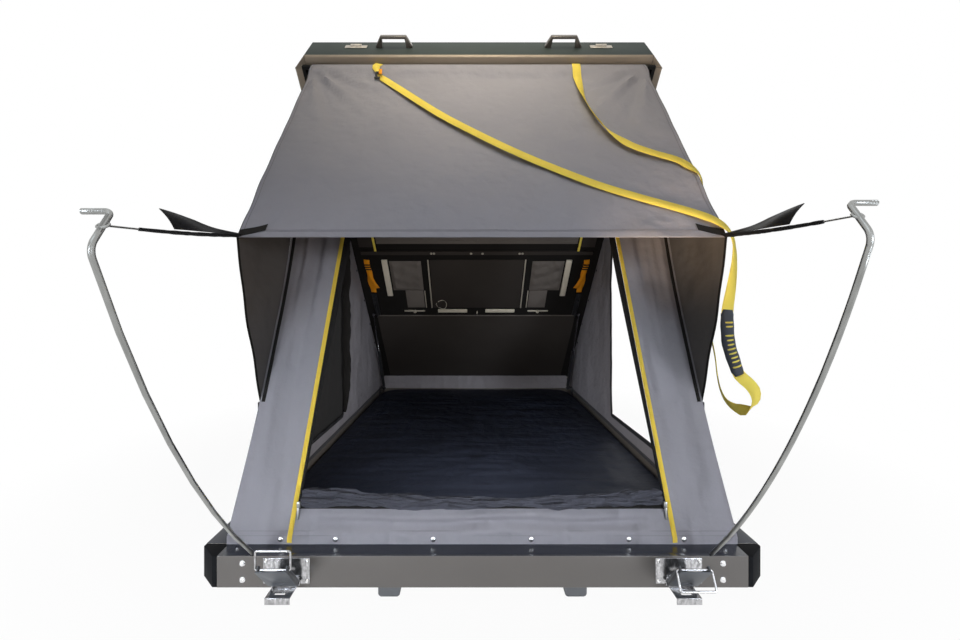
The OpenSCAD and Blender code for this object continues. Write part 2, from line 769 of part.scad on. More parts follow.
module lid_corner() {
    wall = profile_wall * sqrt(2);
    cut = corner_cut;
    translate([-half, front, lid_low]) {
        linear_extrude(band_height) polygon([[cut, 0], [band_depth, 0], [band_depth, band_depth], [0,
            band_depth], [0, cut]]);
        linear_extrude(lid_height - skin_thickness) polygon([[cut, 0], [band_depth, 0], [band_depth,
            profile_wall],
            [cut + wall - profile_wall, profile_wall], [profile_wall, cut + wall - profile_wall],
            [profile_wall, band_depth], [0, band_depth], [0, cut]]);
    }
}
module lid_corners() {
    color("#2b3031") on_lid() both_sides() {
        lid_corner();
        mirror([0, 1, 0]) lid_corner();
    }
}
module lid_skin() {
    c = corner_cut;
    color("#4d5a5c") on_lid() translate([0, 0, lid_top - skin_thickness]) linear_extrude(skin_thickness)
        polygon([[-half + c, front], [half - c, front], [half, front + c], [half, rear - c],
            [half - c, rear], [-half + c, rear], [-half, rear - c], [-half, front + c]]);
}
module lid_ribs() {
    rib = 40;
    low = liner_z + liner_thickness;
    span = 2 * (half - band_depth - seat);
    color("#9b9b9b") on_lid() for (y = [-0.25, 0, 0.25]) translate([-span / 2,
        y * base_length - rib / 2, low]) difference() {
        cube([span, rib, lid_top - skin_thickness - low]);
        translate([-1, 3, 3]) cube([span + 2, rib - 6, lid_top - skin_thickness - low - 6]);
    }
}
handle_z = lid_low + lid_height * 0.6;
module lid_handle(x) {
    l = handle_length / 2;
    r = handle_reach;
    b = handle_bar;
    taper = 21;
    foot = 24;
    color("#5d5850") on_lid() translate([x, front, handle_z - handle_depth / 2]) {
        mirror([0, 1, 0]) linear_extrude(handle_depth) difference() {
            polygon([[-l, 0], [l, 0], [l, 7], [l - taper, r], [-l + taper, r], [-l, 7]]);
            polygon([[-l + foot, -1], [l - foot, -1], [l - foot, 4], [l - taper - b + 5, r - b],
                [-l + taper + b - 5, r - b], [-l + foot, 4]]);
        }
    }
}
module lid_handle_left() {
    lid_handle(-handle_offset);
}
module lid_handle_right() {
    lid_handle(handle_offset);
}
module latch_keepers() {
    w = 84;
    h = 26;
    z = lid_low + lid_height * 0.62;
    color("#c7c6bf") on_lid() both_sides() translate([latch_offset, front, z]) {
        translate([-w / 2, -latch_sheet, -h / 2]) cube([w, latch_sheet, h]);
        translate([-w / 4, -9, 0]) cube([w / 2, 9, latch_sheet]);
        translate([-w / 4, -9, 0]) cube([w / 2, latch_sheet, 9]);
    }
}
module lid_seal() {
    outer = band_depth - 13;
    width = 12;
    height = seal_gap - seat;
    long = base_length - 2 * (outer + width + seat);
    color("#161616") on_lid() translate([0, 0, lid_low - height]) {
        both_sides() translate([half - outer - width, -long / 2, 0]) cube([width, long, height]);
        for (m = [0, 1]) mirror([0, m, 0]) translate([-half + outer, front + outer, 0])
            cube([tent_width - 2 * outer, width, height]);
    }
}

// Ceiling, drawn closed; places are distances behind the front face and from the middle
module ceiling_liner() {
    span = 2 * (half - band_depth - seat);
    length = base_length - 2 * (band_depth + seat);
    color("#17171a") on_lid() translate([-span / 2, -length / 2, liner_z])
        cube([span, length, liner_thickness]);
}
// Block hung under the liner between x0 and x1, y0 and y1 behind the front face
module under_liner(x0, x1, y0, y1, depth) {
    translate([x0, front + y0, liner_z - depth]) cube([x1 - x0, y1 - y0, depth]);
}
board_rear_gap = 72;
board_length = 631;
board_front = base_length - board_rear_gap - board_length;
board_half = half - 102;
fittings_rear = board_front - 72;
fittings_front = fittings_rear - 378;
light_row = board_front - 45;
panel_half = half - 446;
hanger = panel_half + 8;
pocket_inner = half - 400;
pocket_outer = half - 228;
pocket_rear = fittings_front + 234;
side_light = half - 205;
lashing = half - 111;
toggle = half - 336;
crossbar_at = fittings_front - 51;
module ceiling_fittings() {
    color("#131315") on_lid() {
        under_liner(-board_half, board_half, board_front, base_length - board_rear_gap, 5);
        under_liner(-panel_half, panel_half, fittings_front, fittings_rear, 6);
        under_liner(-half + 90, half - 90, crossbar_at - 12, crossbar_at + 12, 12);
        both_sides() {
            translate([hanger, front + (fittings_front + fittings_rear) / 2, liner_z - 4])
                bar_y(fittings_rear - fittings_front, 4);
            translate([hanger + 33, front + (pocket_rear + 4 + fittings_rear) / 2, liner_z - 3])
                bar_y(fittings_rear - pocket_rear - 4, 3);
            translate([toggle + 3, front + light_row, liner_z - 5 - seat]) bar_x(121, 5);
            translate([toggle, front + light_row, liner_z - 18]) cylinder(h = 15, r = 9);
            under_liner(half - 160, half - 86, 330, crossbar_at - 36, 4);
        }
        under_liner(-half + 180, half - 180, 330, crossbar_at - 61, 8);
    }
}
module ceiling_lights() {
    color("#d9d2c0") on_lid() both_sides() {
        under_liner(54, half - 472, light_row - 12, light_row + 12, light_depth);
        under_liner(side_light - light_width / 2, side_light + light_width / 2, fittings_front,
            fittings_front + 275,
            light_depth);
    }
}
module ceiling_pockets() {
    color("#55534f") on_lid() both_sides() {
        under_liner(pocket_inner, pocket_outer, fittings_front + 12, pocket_rear, pocket_depth);
        under_liner(pocket_inner + 3, pocket_inner + 105, pocket_rear + 1, fittings_rear, 3);
    }
}
module ceiling_straps() {
    color("#e58a1c") on_lid() both_sides() {
        under_liner(lashing - 12, lashing + 12, fittings_front, fittings_front + 251, 3);
        under_liner(lashing - 18, lashing + 18, fittings_front + 43, fittings_front + 67, 9);
    }
}

// Canvas: the front wall leans from the hem to the lid
hem_z = ledge + seat;
hem_y = front + hem_inset;
wall_top = opened(front + lid_inset + canvas, liner_z - seat - canvas * sin(open_angle));
awning_top = opened(front + lid_inset - canvas, liner_z - seat);
hem_half = half - hem_inset;
lid_half = half - lid_inset;
function wall_half(v) = lerp(hem_half, lid_half, v);
function door_half(v) = lerp(door_half_low, door_half_high, v);
// The lowest strip stands upright in front of the track; lean counts from its top
skirt_v = (track_height + 2) / (wall_top[1] - hem_z);
function lean(v) = max(0, (v - skirt_v) / (1 - skirt_v));
function wall_fold(s, v) = fold_depth * sin(180 * s) * sin(360 * 1.5 * s + 140 * v) * sin(180 * lean(v));
// Point of the front wall: side from -1 to 1 across, door edges at -door_share and door_share, v up
door_share = 0.5;
function across(c, v) = let (m = abs(c), inner = door_half(v),
    outer = wall_half(v) - waist_in(v) - canvas / 2 - seat)
    sign(c) * (m <= door_share ? inner * m / door_share : lerp(inner, outer,
        (m - door_share) / (1 - door_share)));
plain_strip = 0.15;
function wall_point(c, v) = let (s = max(0,
    (abs(c) - door_share) / (1 - door_share) - plain_strip) / (1 - plain_strip))
    [across(c, v), lerp(hem_y - canvas / 2, wall_top[0], lean(v)) - wall_fold(s, v),
        lerp(hem_z, wall_top[1], v)];
sill_v = sill_height / (wall_top[1] - hem_z);
header_v = 1 - header_height / (wall_top[1] - hem_z);
waist_rows = [for (j = [2, 6, 10]) lerp(sill_v, header_v, j / 12)];
function waist_in(v) = waist * lookup(v, [[skirt_v, 0], [waist_rows[0], 0.6], [waist_rows[1], 1],
    [waist_rows[2], 0.75], [1, 0]]);
module wall_front() {
    side_cells = 7;
    door_cells = 6;
    columns = concat([for (i = [0 : side_cells]) lerp(-1, -door_share, i / side_cells)],
        [for (i = [1 : door_cells]) lerp(-door_share, door_share, i / door_cells)],
        [for (i = [1 : side_cells]) lerp(door_share, 1, i / side_cells)]);
    rows = concat([0, skirt_v], [for (j = [0 : 12]) lerp(sill_v, header_v, j / 12)],
        [(1 + header_v) / 2, 1]);
    color("#83848a") sheet([for (c = columns) [for (v = rows) wall_point(c, v)]], [0, canvas, 0],
        [side_cells, side_cells + door_cells, 2, 14]);
}

// Side wall: ribs run from the base to the lid, slanted at the entrance and upright from the window's
// rear edge on
rib_count = 20;
window_rib = 9;
rear_y = rear - hem_inset;
lid_rear_y = rear - lid_inset - 11;
lid_rise = liner_z - seat - hinge_z;
window_lid_y = hinge_y - (hinge_y + lid_rise * sin(open_angle) - front - window_rear) / cos(open_angle);
function rib_low(i) = i <= window_rib ? lerp(hem_y, front + window_rear, i / window_rib)
    : lerp(front + window_rear, rear_y, (i - window_rib) / (rib_count - window_rib));
function rib_high(i) = i <= window_rib ? lerp(front + lid_inset + canvas, window_lid_y, i / window_rib)
    : lerp(window_lid_y, lid_rear_y, (i - window_rib) / (rib_count - window_rib));
function side_point(i, v, inward = 0) = let (low = [rib_low(i), hem_z], high = opened(rib_high(i),
    liner_z - seat),
    p = [lerp(low[0], high[0], lean(v)), lerp(low[1], high[1], v)],
    clear = max(0, min(1, (p[1] - ledge - track_height) / 100)),
    slack_in = fold_depth * sin(180 * v) * min(1, i / 2) * clear,
    wave = 0.5 + 0.5 * sin(360 * i / 6.5 + 60 * v),
    drawn = waist_in(v) * max(0, min(1, (window_rib - i) / (window_rib - 1))))
    [wall_half(v) + canvas / 2 - inward - drawn - slack_in * wave, p[0], p[1]];
middle_rows = [waist_rows[0], (waist_rows[0] + waist_rows[1]) / 2, waist_rows[1],
    (waist_rows[1] + waist_rows[2]) / 2, waist_rows[2]];
side_rows = concat([0, skirt_v, 0.055], middle_rows, [0.9, 1]);
module side_wall() {
    sheet([for (i = [0 : rib_count]) [for (v = side_rows) side_point(i, v)]], [-canvas, 0, 0],
        [2, window_rib, 2, 8]);
}
module wall_right() {
    color("#83848a") side_wall();
}
module wall_left() {
    color("#83848a") mirror([1, 0, 0]) side_wall();
}
module window_mesh_left() {
    rows = concat([0.045], middle_rows, [0.91]);
    color("#2a2626") mirror([1, 0, 0]) sheet([for (i = [1.8, 3, 4, 5, 6, 7, 8, window_rib + 0.1])
        [for (v = rows) side_point(i, v, canvas + 3 * seat)]], [-canvas / 2, 0, 0]);
}
module wall_rear() {
    skirt_y = rear - rail_depth - canvas - seat;
    high = opened(rear - board_rear_gap + 12, liner_z - seat);
    span = inner_half - 2;
    profile = [[skirt_y, ledge - 10], [skirt_y, ledge + track_height + 2], high];
    color("#7c7d82") sheet([for (k = [0 : 16]) let (x = span - 2 * span * k / 16)
        [for (p = profile) [x, p[0] + 1.5 * sin(360 * 3 * k / 16) - 1.5, p[1]]]], [0, -canvas, 0]);
}

// Rolled door on the sill
module door_roll() {
    rings = 36;
    v = sill_v + (roll_diameter / 2 + seat) / (wall_top[1] - hem_z);
    span = door_half(v) - 16;
    middle = [0, wall_point(0, sill_v)[1] + canvas / 2, wall_point(0, v)[2]];
    color("#4a4a50") tube([for (k = [0 : rings]) let (t = k / rings,
        lump = 0.93 + 0.07 * sin(360 * 4.5 * t), r = roll_diameter / 2 * lump * (k % rings == 0 ? 0.8 : 1))
        round_ring([lerp(-span, span, t), middle[1], middle[2]], [1, 0, 0], [0, 0, 1], r, 12)]);
}
// Tapes along the entrance, snap studs on the hem and zip pulls
snap_places = [124, 371, 510, 617];
module door_trim() {
    lift = canvas / 2 + seat;
    color("#f2c81e") both_sides() sheet([for (s = [-1, 1]) [for (v = concat([skirt_v / 4],
        [for (k = [0 : 12]) lerp(skirt_v, 0.985, k / 12)]))
        [door_half(v) + tape_width / 2 * s + 2, wall_point(0, v)[1] - lift, wall_point(0, v)[2]]]],
        [0, canvas / 2, 0]);
    color("#d5d7da") both_sides() for (x = snap_places)
        translate([x, wall_point(0, 12 / (wall_top[1] - hem_z))[1] - seat, ledge + 13]) rotate([90, 0,
            0]) dome(6, 3);
    pull_low = sill_height - 34;
    color("#c8c8c8") both_sides() translate([door_half(sill_v) - 30,
        wall_point(0, pull_low / (wall_top[1] - hem_z))[1] - 3 - seat, hem_z + pull_low]) cube([7, 3, 30]);
}

// Awning, its gussets and ties
awning_edge = [front + awning_reach, ledge + awning_height];
awning_run = unit([awning_top[0] - awning_edge[0], awning_top[1] - awning_edge[1]]);
awning_out = [0, -awning_run[1], awning_run[0]];
function awning_sag(c,
    t) = 10 * sin(180 * t) * (1 - c * c) + fold_depth * 0.5 * sin(180 * t) * sin(360 * 1.2 * c + 60 * t);
function awning_point(c, t) = let (p = lerp(awning_edge, awning_top, t))
    [lerp(awning_half, lid_half - 4, t * t) * c, p[0], p[1]] - awning_sag(c, t) * awning_out;
module awning() {
    across_cells = 20;
    up_cells = 12;
    color("#8b8c92") sheet([for (i = [0 : across_cells]) [for (j = [0 : up_cells])
        awning_point(2 * i / across_cells - 1, j / up_cells)]], -canvas * awning_out);
}
gusset_v = gusset_height / (wall_top[1] - hem_z);
module awning_gusset() {
    cells = 10;
    color("#2c2a2a") sheet([for (i = [0 : 6]) [for (j = [0 : cells])
        let (s = i / 6, t = lerp(0.94, 0, j / cells),
        v = lerp(gusset_v, 0.94, t), a = awning_point(1, t),
        w = [wall_half(v) - waist_in(v), lerp(hem_y, wall_top[0], v), lerp(hem_z, wall_top[1], v)],
        p = lerp(a, w + [canvas / 2, 0, 0], s),
            bulge = 5 * sin(180 * s) * (1 - t) * (0.6 + 0.4 * sin(360 * s)))
        p + [canvas / 2 + seat + bulge, 0, 0]]], [-canvas / 2, 0, 0]);
}
module awning_gussets() {
    both_sides() awning_gusset();
}
// The tie runs from the rod's tip to the awning's corner, with a loose tab of wide webbing on it
function tie_start(a) = [-rod_offset,
    front + rod_foot - rod_back(a)[0] - 0.6 * rod_tip_length * cos(rod_back_angle(a)),
    ledge + rod_back(a)[1] + 0.6 * rod_tip_length * sin(rod_back_angle(a))];
tie_lift = tie_diameter / 2 + seat;
tie_end = [-awning_half + 4, awning_edge[0], awning_edge[1]] + tie_lift * awning_out
    + [0, 4 * awning_run[0], 4 * awning_run[1]];
tab_share = 0.62;
tab_slant = 0.12;
module awning_tie(a) {
    ring_r = rod_r + seat + tie_diameter / 2;
    start = tie_start(a);
    t = unit(tie_end - start);
    from = start + t * (ring_r + tie_diameter * 0.2);
    cells = 14;
    color("#1a1a1a") {
        tube([for (k = [0 : 3]) round_ring(lerp(from, tie_end, k / 3), t, [0, 0, 1], tie_diameter / 2, 8)]);
        translate(start) upright(0, 0, 0) rotate([0, 0, rod_back_angle(a)]) rotate([0, 90, 0])
            rotate_extrude() translate([ring_r, 0]) circle(tie_diameter / 2, $fn = 24);
        sheet([for (s = [0, 1]) [for (k = [0 : cells]) let (q = k / cells,
            p = lerp(tie_end, start, tab_share * q * (1 + tab_slant * s)), turn = 12 + 62 * pow(q, 1.4),
            side = [-cos(turn) * 0.55, -cos(turn) * 0.3, sin(turn)])
            p + [0, 0, tie_lift] + side * tab_width * s * min(1, 0.35 + q * 1.2)]],
                webbing * [-0.7, 0, -0.5]);
    }
}
module awning_tie_left() {
    awning_tie(rod_angle(-1));
}
module awning_tie_right() {
    mirror([1, 0, 0]) awning_tie(rod_angle(1));
}

// Pull strap: over the awning, down through the grip, round the loop and back outside the gusset
face_up = awning_out;
face_front = [0, -1, 0];
face_side = [1, 0.2, 0];
strap_route = [
    [[-376, -445.8, 1604.9], face_up], [[-376, -477, 1568], face_up], [[-264, -558, 1466], face_up],
    [[-134, -646, 1354], face_up], [[0, -722, 1257], face_up], [[122, -785, 1177], face_up],
    [[236, -836, 1112], face_up], [[342, -878, 1058], face_up], [[446, -911, 1016], face_up],
    [[545, -939, 980], face_up], [[606, -960, 954], face_up], [[636, -979, 932], [0.25, -0.75, 0.6]],
    [[655, -989, 906], [0.6, -0.6, 0.5]], [[661, -996, 872], [0.75, -0.66, 0]], [[657, -1003, 825],
        [0.6, -0.8, 0]],
    [[646, -1010, 768], [0.3, -0.95, 0]], [[634, -1013, 705], face_front], [[633, -1013, 662], face_front],
    [[637, -1013, 616], face_front], [[650, -1013, 573], face_front], [[664, -1013, 537], face_front],
    [[686, -1013, 517], face_front], [[704, -1012, 496], face_front], [[711, -1008, 470], [0.4, -1, 0]],
    [[704, -996, 446], [0.8, -0.8, 0]], [[688, -976, 438], [1, -0.3, 0]], [[668, -950, 452], face_side],
    [[660, -930, 482], face_side], [[658, -916, 524], face_side], [[658, -906, 568], face_side],
    [[656, -882, 650], face_side], [[656, -874, 760], face_side], [[656, -866, 880], face_side],
    [[656, -856, 980], face_side], [[654, -846, 1050], face_side], [[648, -837, 1099], [0.6, -0.5, 0.6]],
    [[622, -822, 1130], face_up], [[592, -800, 1157], face_up], [[524, -778, 1186], face_up],
    [[458, -746, 1227], face_up], [[403, -683, 1307], face_up], [[368, -587, 1430], face_up],
    [[364, -492, 1552], face_up], [[366, -445.8, 1604.9], face_up]];
grip_first = 16;
grip_last = 20;
route_half = 700;
strap_path = [for (r = strap_route) [r[0][0] * half / route_half, r[0][1], r[0][2]]];
module pull_strap() {
    color("#f2c81e") tube([for (k = [0 : len(strap_route) - 1])
        flat_ring(strap_path[k], heading(strap_path, k), strap_route[k][1], strap_width, webbing)]);
}
module pull_strap_grip() {
    grip_path = [for (k = [grip_first : grip_last]) strap_path[k]];
    color("#3b3b3d") tube([for (k = [0 : len(grip_path) - 1])
        round_ring(grip_path[k], heading(grip_path, k), [0, 1, 0], grip_diameter / 2, 12)]);
}

base_front_rail();
base_rear_rail();
base_left_rail();
base_right_rail();
base_corners();
base_floor();
mounting_rail_left();
mounting_rail_right();
rail_end_caps();
tent_track();
corner_screws();
rod_sockets();
mattress();
latch_left_plate();
latch_right_plate();
latch_bolts();
hinge_base_leaves();
hinge_pins();
strut_base_brackets();
latch_left_lever();
latch_right_lever();
latch_left_bail();
latch_right_bail();
awning_rod_left();
awning_rod_right();
strut_left_cylinder();
strut_right_cylinder();
strut_left_rod();
strut_right_rod();
lid_front_rail();
lid_rear_rail();
lid_left_rail();
lid_right_rail();
lid_corners();
lid_skin();
lid_ribs();
lid_handle_left();
lid_handle_right();
latch_keepers();
lid_seal();
hinge_lid_leaves();
ceiling_liner();
ceiling_fittings();
ceiling_lights();
ceiling_pockets();
ceiling_straps();
lid_strut_brackets();
wall_front();
wall_left();
wall_right();
wall_rear();
window_mesh_left();
door_roll();
door_trim();
awning();
awning_gussets();
awning_tie_left();
awning_tie_right();
pull_strap();
pull_strap_grip();
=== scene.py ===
"""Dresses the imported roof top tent: canvas, webbing, bedding, ceiling, metal finishes and a studio."""

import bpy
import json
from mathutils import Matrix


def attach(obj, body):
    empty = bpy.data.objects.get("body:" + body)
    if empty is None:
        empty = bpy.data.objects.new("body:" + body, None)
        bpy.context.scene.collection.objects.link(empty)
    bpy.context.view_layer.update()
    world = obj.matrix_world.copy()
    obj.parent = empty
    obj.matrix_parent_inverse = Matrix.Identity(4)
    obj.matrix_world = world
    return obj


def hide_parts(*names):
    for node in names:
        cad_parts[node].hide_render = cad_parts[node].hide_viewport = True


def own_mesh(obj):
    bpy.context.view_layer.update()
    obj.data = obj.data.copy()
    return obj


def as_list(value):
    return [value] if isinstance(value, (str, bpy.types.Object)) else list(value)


bl_info = {
    "name": "Roof Top Tent Dressing",
    "version": (1, 0, 0),
    "blender": (4, 5, 0),
    "location": "View3D > Sidebar > Tent",
    "description": "Models the soft pieces, fittings and finishes of a pitched hard shell roof top tent",
    "category": "Object",
}

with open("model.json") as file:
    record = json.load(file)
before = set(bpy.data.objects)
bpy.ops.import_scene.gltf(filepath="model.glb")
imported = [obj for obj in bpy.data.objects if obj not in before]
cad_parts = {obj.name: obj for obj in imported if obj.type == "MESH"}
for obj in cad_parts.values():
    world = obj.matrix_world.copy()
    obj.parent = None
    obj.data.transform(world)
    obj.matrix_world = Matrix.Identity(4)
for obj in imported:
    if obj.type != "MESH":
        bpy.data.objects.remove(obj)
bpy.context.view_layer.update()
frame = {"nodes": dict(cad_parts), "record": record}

import json
import math

import bpy
from mathutils import Matrix, Vector, noise

RECORD = frame["record"]
BODY_OF = {node: body for body, nodes in RECORD["behaviour"]["bodies"].items() for node in nodes}
SLOT_OF = {part["node"]: part["material_slot"] for part in RECORD["subparts"]}
LID_HINGE = next(j for j in RECORD["behaviour"]["joints"] if j["name"] == "lid_hinge")


def box(node):
    """Lowest and highest corner of a CAD node, to a hundredth of a millimetre."""
    obj = frame["nodes"][node]
    points = [obj.matrix_world @ v.co for v in obj.data.vertices]
    return [[round(end(p[k] for p in points), 5) for k in range(3)] for end in (min, max)]


# Planes of the shell and the lid's hinge, from the frame. All sizes are in metres.
(_, FRONT, _), (HALF, REAR, LEDGE) = box("base_corners")
TRACK_HEIGHT = round(box("tent_track")[1][2] - LEDGE, 5)
BED_FLOOR = box("base_floor")[1][2]
HINGE_Y, HINGE_Z = LID_HINGE["pos_m"][1:]
OPEN = math.radians(LID_HINGE["range_deg"][1])

CANVAS = 0.002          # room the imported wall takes
CLOTH = CANVAS * 0.8    # thickness the cloth is drawn with
SEAT = 0.0003           # gap between pieces that rest on each other
FOLD = 0.007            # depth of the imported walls' folds
LINER_Z = 0.14          # underside of the lid's liner, lid closed
HEM_INSET = 0.054       # walls behind the base's outer faces
LID_INSET = 0.049       # walls behind the lid's outer faces
RAIL_DEPTH = 0.058      # base rails without their inner lip
SILL = 0.086            # height of the cloth under the entrance
HEADER = 0.19           # height of the cloth over the entrance
DOOR_LOW, DOOR_HIGH = 0.486, 0.404    # half widths of the entrance at the hem and at the lid
WAIST = 0.042           # how far the walls' front corners are drawn in
WINDOW_REAR = 1.11      # rear edge of the windows behind the front face
AWNING_HALF = 0.64
AWNING_EDGE = (FRONT + 0.094, LEDGE + 0.783)
GUSSET_HEIGHT = 0.332   # lower tip of the gussets above the hem
SEAL_CLEAR = 0.0187     # lift that takes the awning's top in front of the lid seal
BAND_STOP = 0.0150      # awning's top edge below the lid's band

LID_TURN = (Matrix.Translation((0, HINGE_Y, HINGE_Z)) @ Matrix.Rotation(-OPEN, 4, "X")
            @ Matrix.Translation((0, -HINGE_Y, -HINGE_Z)))


def opened(y, z):
    """Where the open lid carries a point given with the lid closed."""
    p = LID_TURN @ Vector((0, y, z))
    return p.y, p.z


def lerp(a, b, t):
    return a + (b - a) * t


def spaced(a, b, steps):
    """Values from a to b in equal steps, both ends included."""
    return [lerp(a, b, k / steps) for k in range(steps + 1)]


def clamp(x, low=0.0, high=1.0):
    return max(low, min(high, x))


def bump(t):
    """Zero at both ends, one in the middle."""
    return math.sin(math.pi * clamp(t))


def rough(x, y, z):
    """Soft irregular value from about -1 to 1, the same at every run."""
    return noise.fractal(Vector((x, y, z)), 1.0, 2.0, 3)


HEM_Z = LEDGE + SEAT
HEM_Y = FRONT + HEM_INSET
WALL_TOP = opened(FRONT + LID_INSET + CANVAS, LINER_Z - SEAT - CANVAS * math.sin(OPEN))
WALL_RISE = WALL_TOP[1] - HEM_Z
SILL_V = SILL / WALL_RISE
HEADER_V = 1 - HEADER / WALL_RISE
SKIRT_V = (TRACK_HEIGHT + 0.002) / WALL_RISE
AWNING_TOP = opened(FRONT + LID_INSET - CANVAS, LINER_Z - SEAT)
LIP = (0, *AWNING_TOP)
CLIMB = (AWNING_TOP[0] - AWNING_EDGE[0], AWNING_TOP[1] - AWNING_EDGE[1])
AWNING_RUN = math.hypot(*CLIMB)
RUN = Vector((0, *CLIMB)).normalized()
AWNING_OUT = Vector((0, -RUN.z, RUN.y))
AHEAD = (0, -1, 0)
UP = tuple(AWNING_OUT)
DOWN = (0, 0, -1)
# Share of the waist at places between sill and header, as packed
WAIST_SHARES = ((2 / 12, 0.6), (6 / 12, 1.0), (10 / 12, 0.75))
WAIST_EASE = 0.07


def lean(v):
    """Share of the wall's slope at height v: the hem stands upright behind the track."""
    return max(0.0, (v - SKIRT_V) / (1 - SKIRT_V))


def wall_half(v):
    return lerp(HALF - HEM_INSET, HALF - LID_INSET, v)


def door_half(v):
    return lerp(DOOR_LOW, DOOR_HIGH, v)


def waist_in(v):
    """Amount by which the walls' front corners are drawn in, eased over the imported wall's straight steps."""
    knots = ([(SKIRT_V, 0.0)] + [(lerp(SILL_V, HEADER_V, t), share) for t, share in WAIST_SHARES]
             + [(1.0, 0.0)])

    def step(u):
        for (a, low), (b, high) in zip(knots, knots[1:]):
            if u <= b:
                return lerp(low, high, clamp((u - a) / (b - a)))
        return 0.0
    reach = WAIST_EASE * clamp(min(1 - v, v - SKIRT_V) / WAIST_EASE)
    return WAIST * sum(step(v + reach * k / 2) for k in range(-2, 3)) / 5


def lifted(t):
    """How far the awning's top stands off its line to pass in front of the seal."""
    q = clamp((t - 0.90) / 0.066)
    return SEAL_CLEAR * q * q * (3 - 2 * q)


# Settings a user would change

COLOUR = {"subtype": "COLOR", "size": 3, "min": 0, "max": 1}


class TentColours(bpy.types.PropertyGroup):
    """Colours of the tent's main finishes."""
    canvas: bpy.props.FloatVectorProperty(
        name="Canvas", description="Walls and awning", default=(0.280, 0.264, 0.282), **COLOUR)
    lining: bpy.props.FloatVectorProperty(
        name="Lining", description="Ceiling, zips and patches", default=(0.0165, 0.015, 0.014), **COLOUR)
    bedding: bpy.props.FloatVectorProperty(
        name="Bedding", description="Mattress cover", default=(0.0195, 0.0234, 0.0377), **COLOUR)
    webbing: bpy.props.FloatVectorProperty(
        name="Webbing", description="Pull strap and ceiling tapes", default=(1.0, 0.785, 0.13), **COLOUR)
    strap: bpy.props.FloatVectorProperty(
        name="Lashing strap", description="Straps on the ceiling", default=(0.97, 0.36, 0.018), **COLOUR)
    lid: bpy.props.FloatVectorProperty(
        name="Lid paint", description="Powder coat of the lid", default=(0.037, 0.048, 0.046), **COLOUR)
    band: bpy.props.FloatVectorProperty(
        name="Lid band", description="Anodised band under the lid", default=(0.30, 0.245, 0.185), **COLOUR)
    base: bpy.props.FloatVectorProperty(
        name="Base paint", description="Powder coat of the base", default=(0.118, 0.104, 0.092), **COLOUR)


class TentSizes(bpy.types.PropertyGroup):
    """Sizes of the sewn details."""
    strap_width: bpy.props.FloatProperty(
        name="Strap width", description="Width of the pull strap",
        default=0.031, min=0.02, max=0.034, unit="LENGTH")
    webbing: bpy.props.FloatProperty(
        name="Webbing", description="Thickness of the webbing",
        default=0.002, min=0.0015, max=0.0025, unit="LENGTH")
    grip: bpy.props.FloatProperty(
        name="Grip", description="Width of the padded grip",
        default=0.033, min=0.026, max=0.036, unit="LENGTH")
    tape_width: bpy.props.FloatProperty(
        name="Door tape", description="Width of the tape along the entrance",
        default=0.0125, min=0.01, max=0.025, unit="LENGTH")


# Modelling helpers

OUTWARD = ("normals_make_consistent", {"inside": False})


def deselect():
    if bpy.context.object and bpy.context.object.mode != "OBJECT":
        bpy.ops.object.mode_set(mode="OBJECT")
    bpy.ops.object.select_all(action="DESELECT")


def pick(obj):
    deselect()
    obj.select_set(True)
    bpy.context.view_layer.objects.active = obj
    return obj


def edit(obj, *jobs):
    """Runs mesh operators on the whole of a piece: each job is an operator's name and its settings."""
    pick(obj)
    bpy.ops.object.mode_set(mode="EDIT")
    bpy.ops.mesh.select_all(action="SELECT")
    for name, settings in jobs:
        getattr(bpy.ops.mesh, name)(**settings)
    bpy.ops.object.mode_set(mode="OBJECT")
    return obj


def settle(obj):
    """Moves the object's place into its mesh."""
    pick(obj)
    bpy.ops.object.transform_apply(location=True, rotation=True, scale=True)
    return obj


def on_lid(obj):
    """Carries a piece drawn with the lid closed to the open lid."""
    settle(obj)
    obj.matrix_world = LID_TURN
    return settle(obj)


def smooth(obj, angle=35):
    pick(obj)
    bpy.ops.object.shade_smooth_by_angle(angle=math.radians(angle))
    return obj


def apply_modifiers(obj):
    pick(obj)
    for m in list(obj.modifiers):
        bpy.ops.object.modifier_apply(modifier=m.name)
    return obj


def named(name):
    obj = bpy.context.object
    obj.name = name
    obj.data.name = name
    return obj


def join(name, objs):
    deselect()
    for o in objs:
        o.select_set(True)
    bpy.context.view_layer.objects.active = objs[0]
    if len(objs) > 1:
        bpy.ops.object.join()
    return named(name)


def bevel_edges(obj, width, angle, rim=False):
    """Rounds the edges sharper than an angle. With rim the rounded faces take the second material: a painted
    highlight along the edges.
    """
    m = obj.modifiers.new("edges", "BEVEL")
    m.width = width
    m.segments = 2
    m.limit_method = "ANGLE"
    m.angle_limit = math.radians(angle)
    m.use_clamp_overlap = True
    if rim:
        obj.data.materials.append(None)
        obj.data.materials.append(None)
        m.material = 1
    return apply_modifiers(obj)


def block(name, low, high, edge=0.001):
    """Bar between two corners with rounded edges."""
    deselect()
    centre = [(a + b) / 2 for a, b in zip(low, high)]
    bpy.ops.mesh.primitive_cube_add(size=1, location=centre, scale=[abs(b - a) for a, b in zip(low, high)])
    obj = settle(named(name))
    edit(obj, ("bevel", {"offset": edge, "segments": 2, "affect": "EDGES", "clamp_overlap": True}))
    return smooth(obj)


def pin(name, centre, radius, length, axis="Z", edge=0.0008):
    """Round bar along an axis, with rounded rims."""
    deselect()
    turn = {"Z": (0, 0, 0), "X": (0, math.pi / 2, 0), "Y": (math.pi / 2, 0, 0)}[axis]
    bpy.ops.mesh.primitive_cylinder_add(vertices=28, radius=radius, depth=length,
                                        location=centre, rotation=turn)
    obj = settle(named(name))
    bevel_edges(obj, edge, 40)
    return smooth(obj, 40)


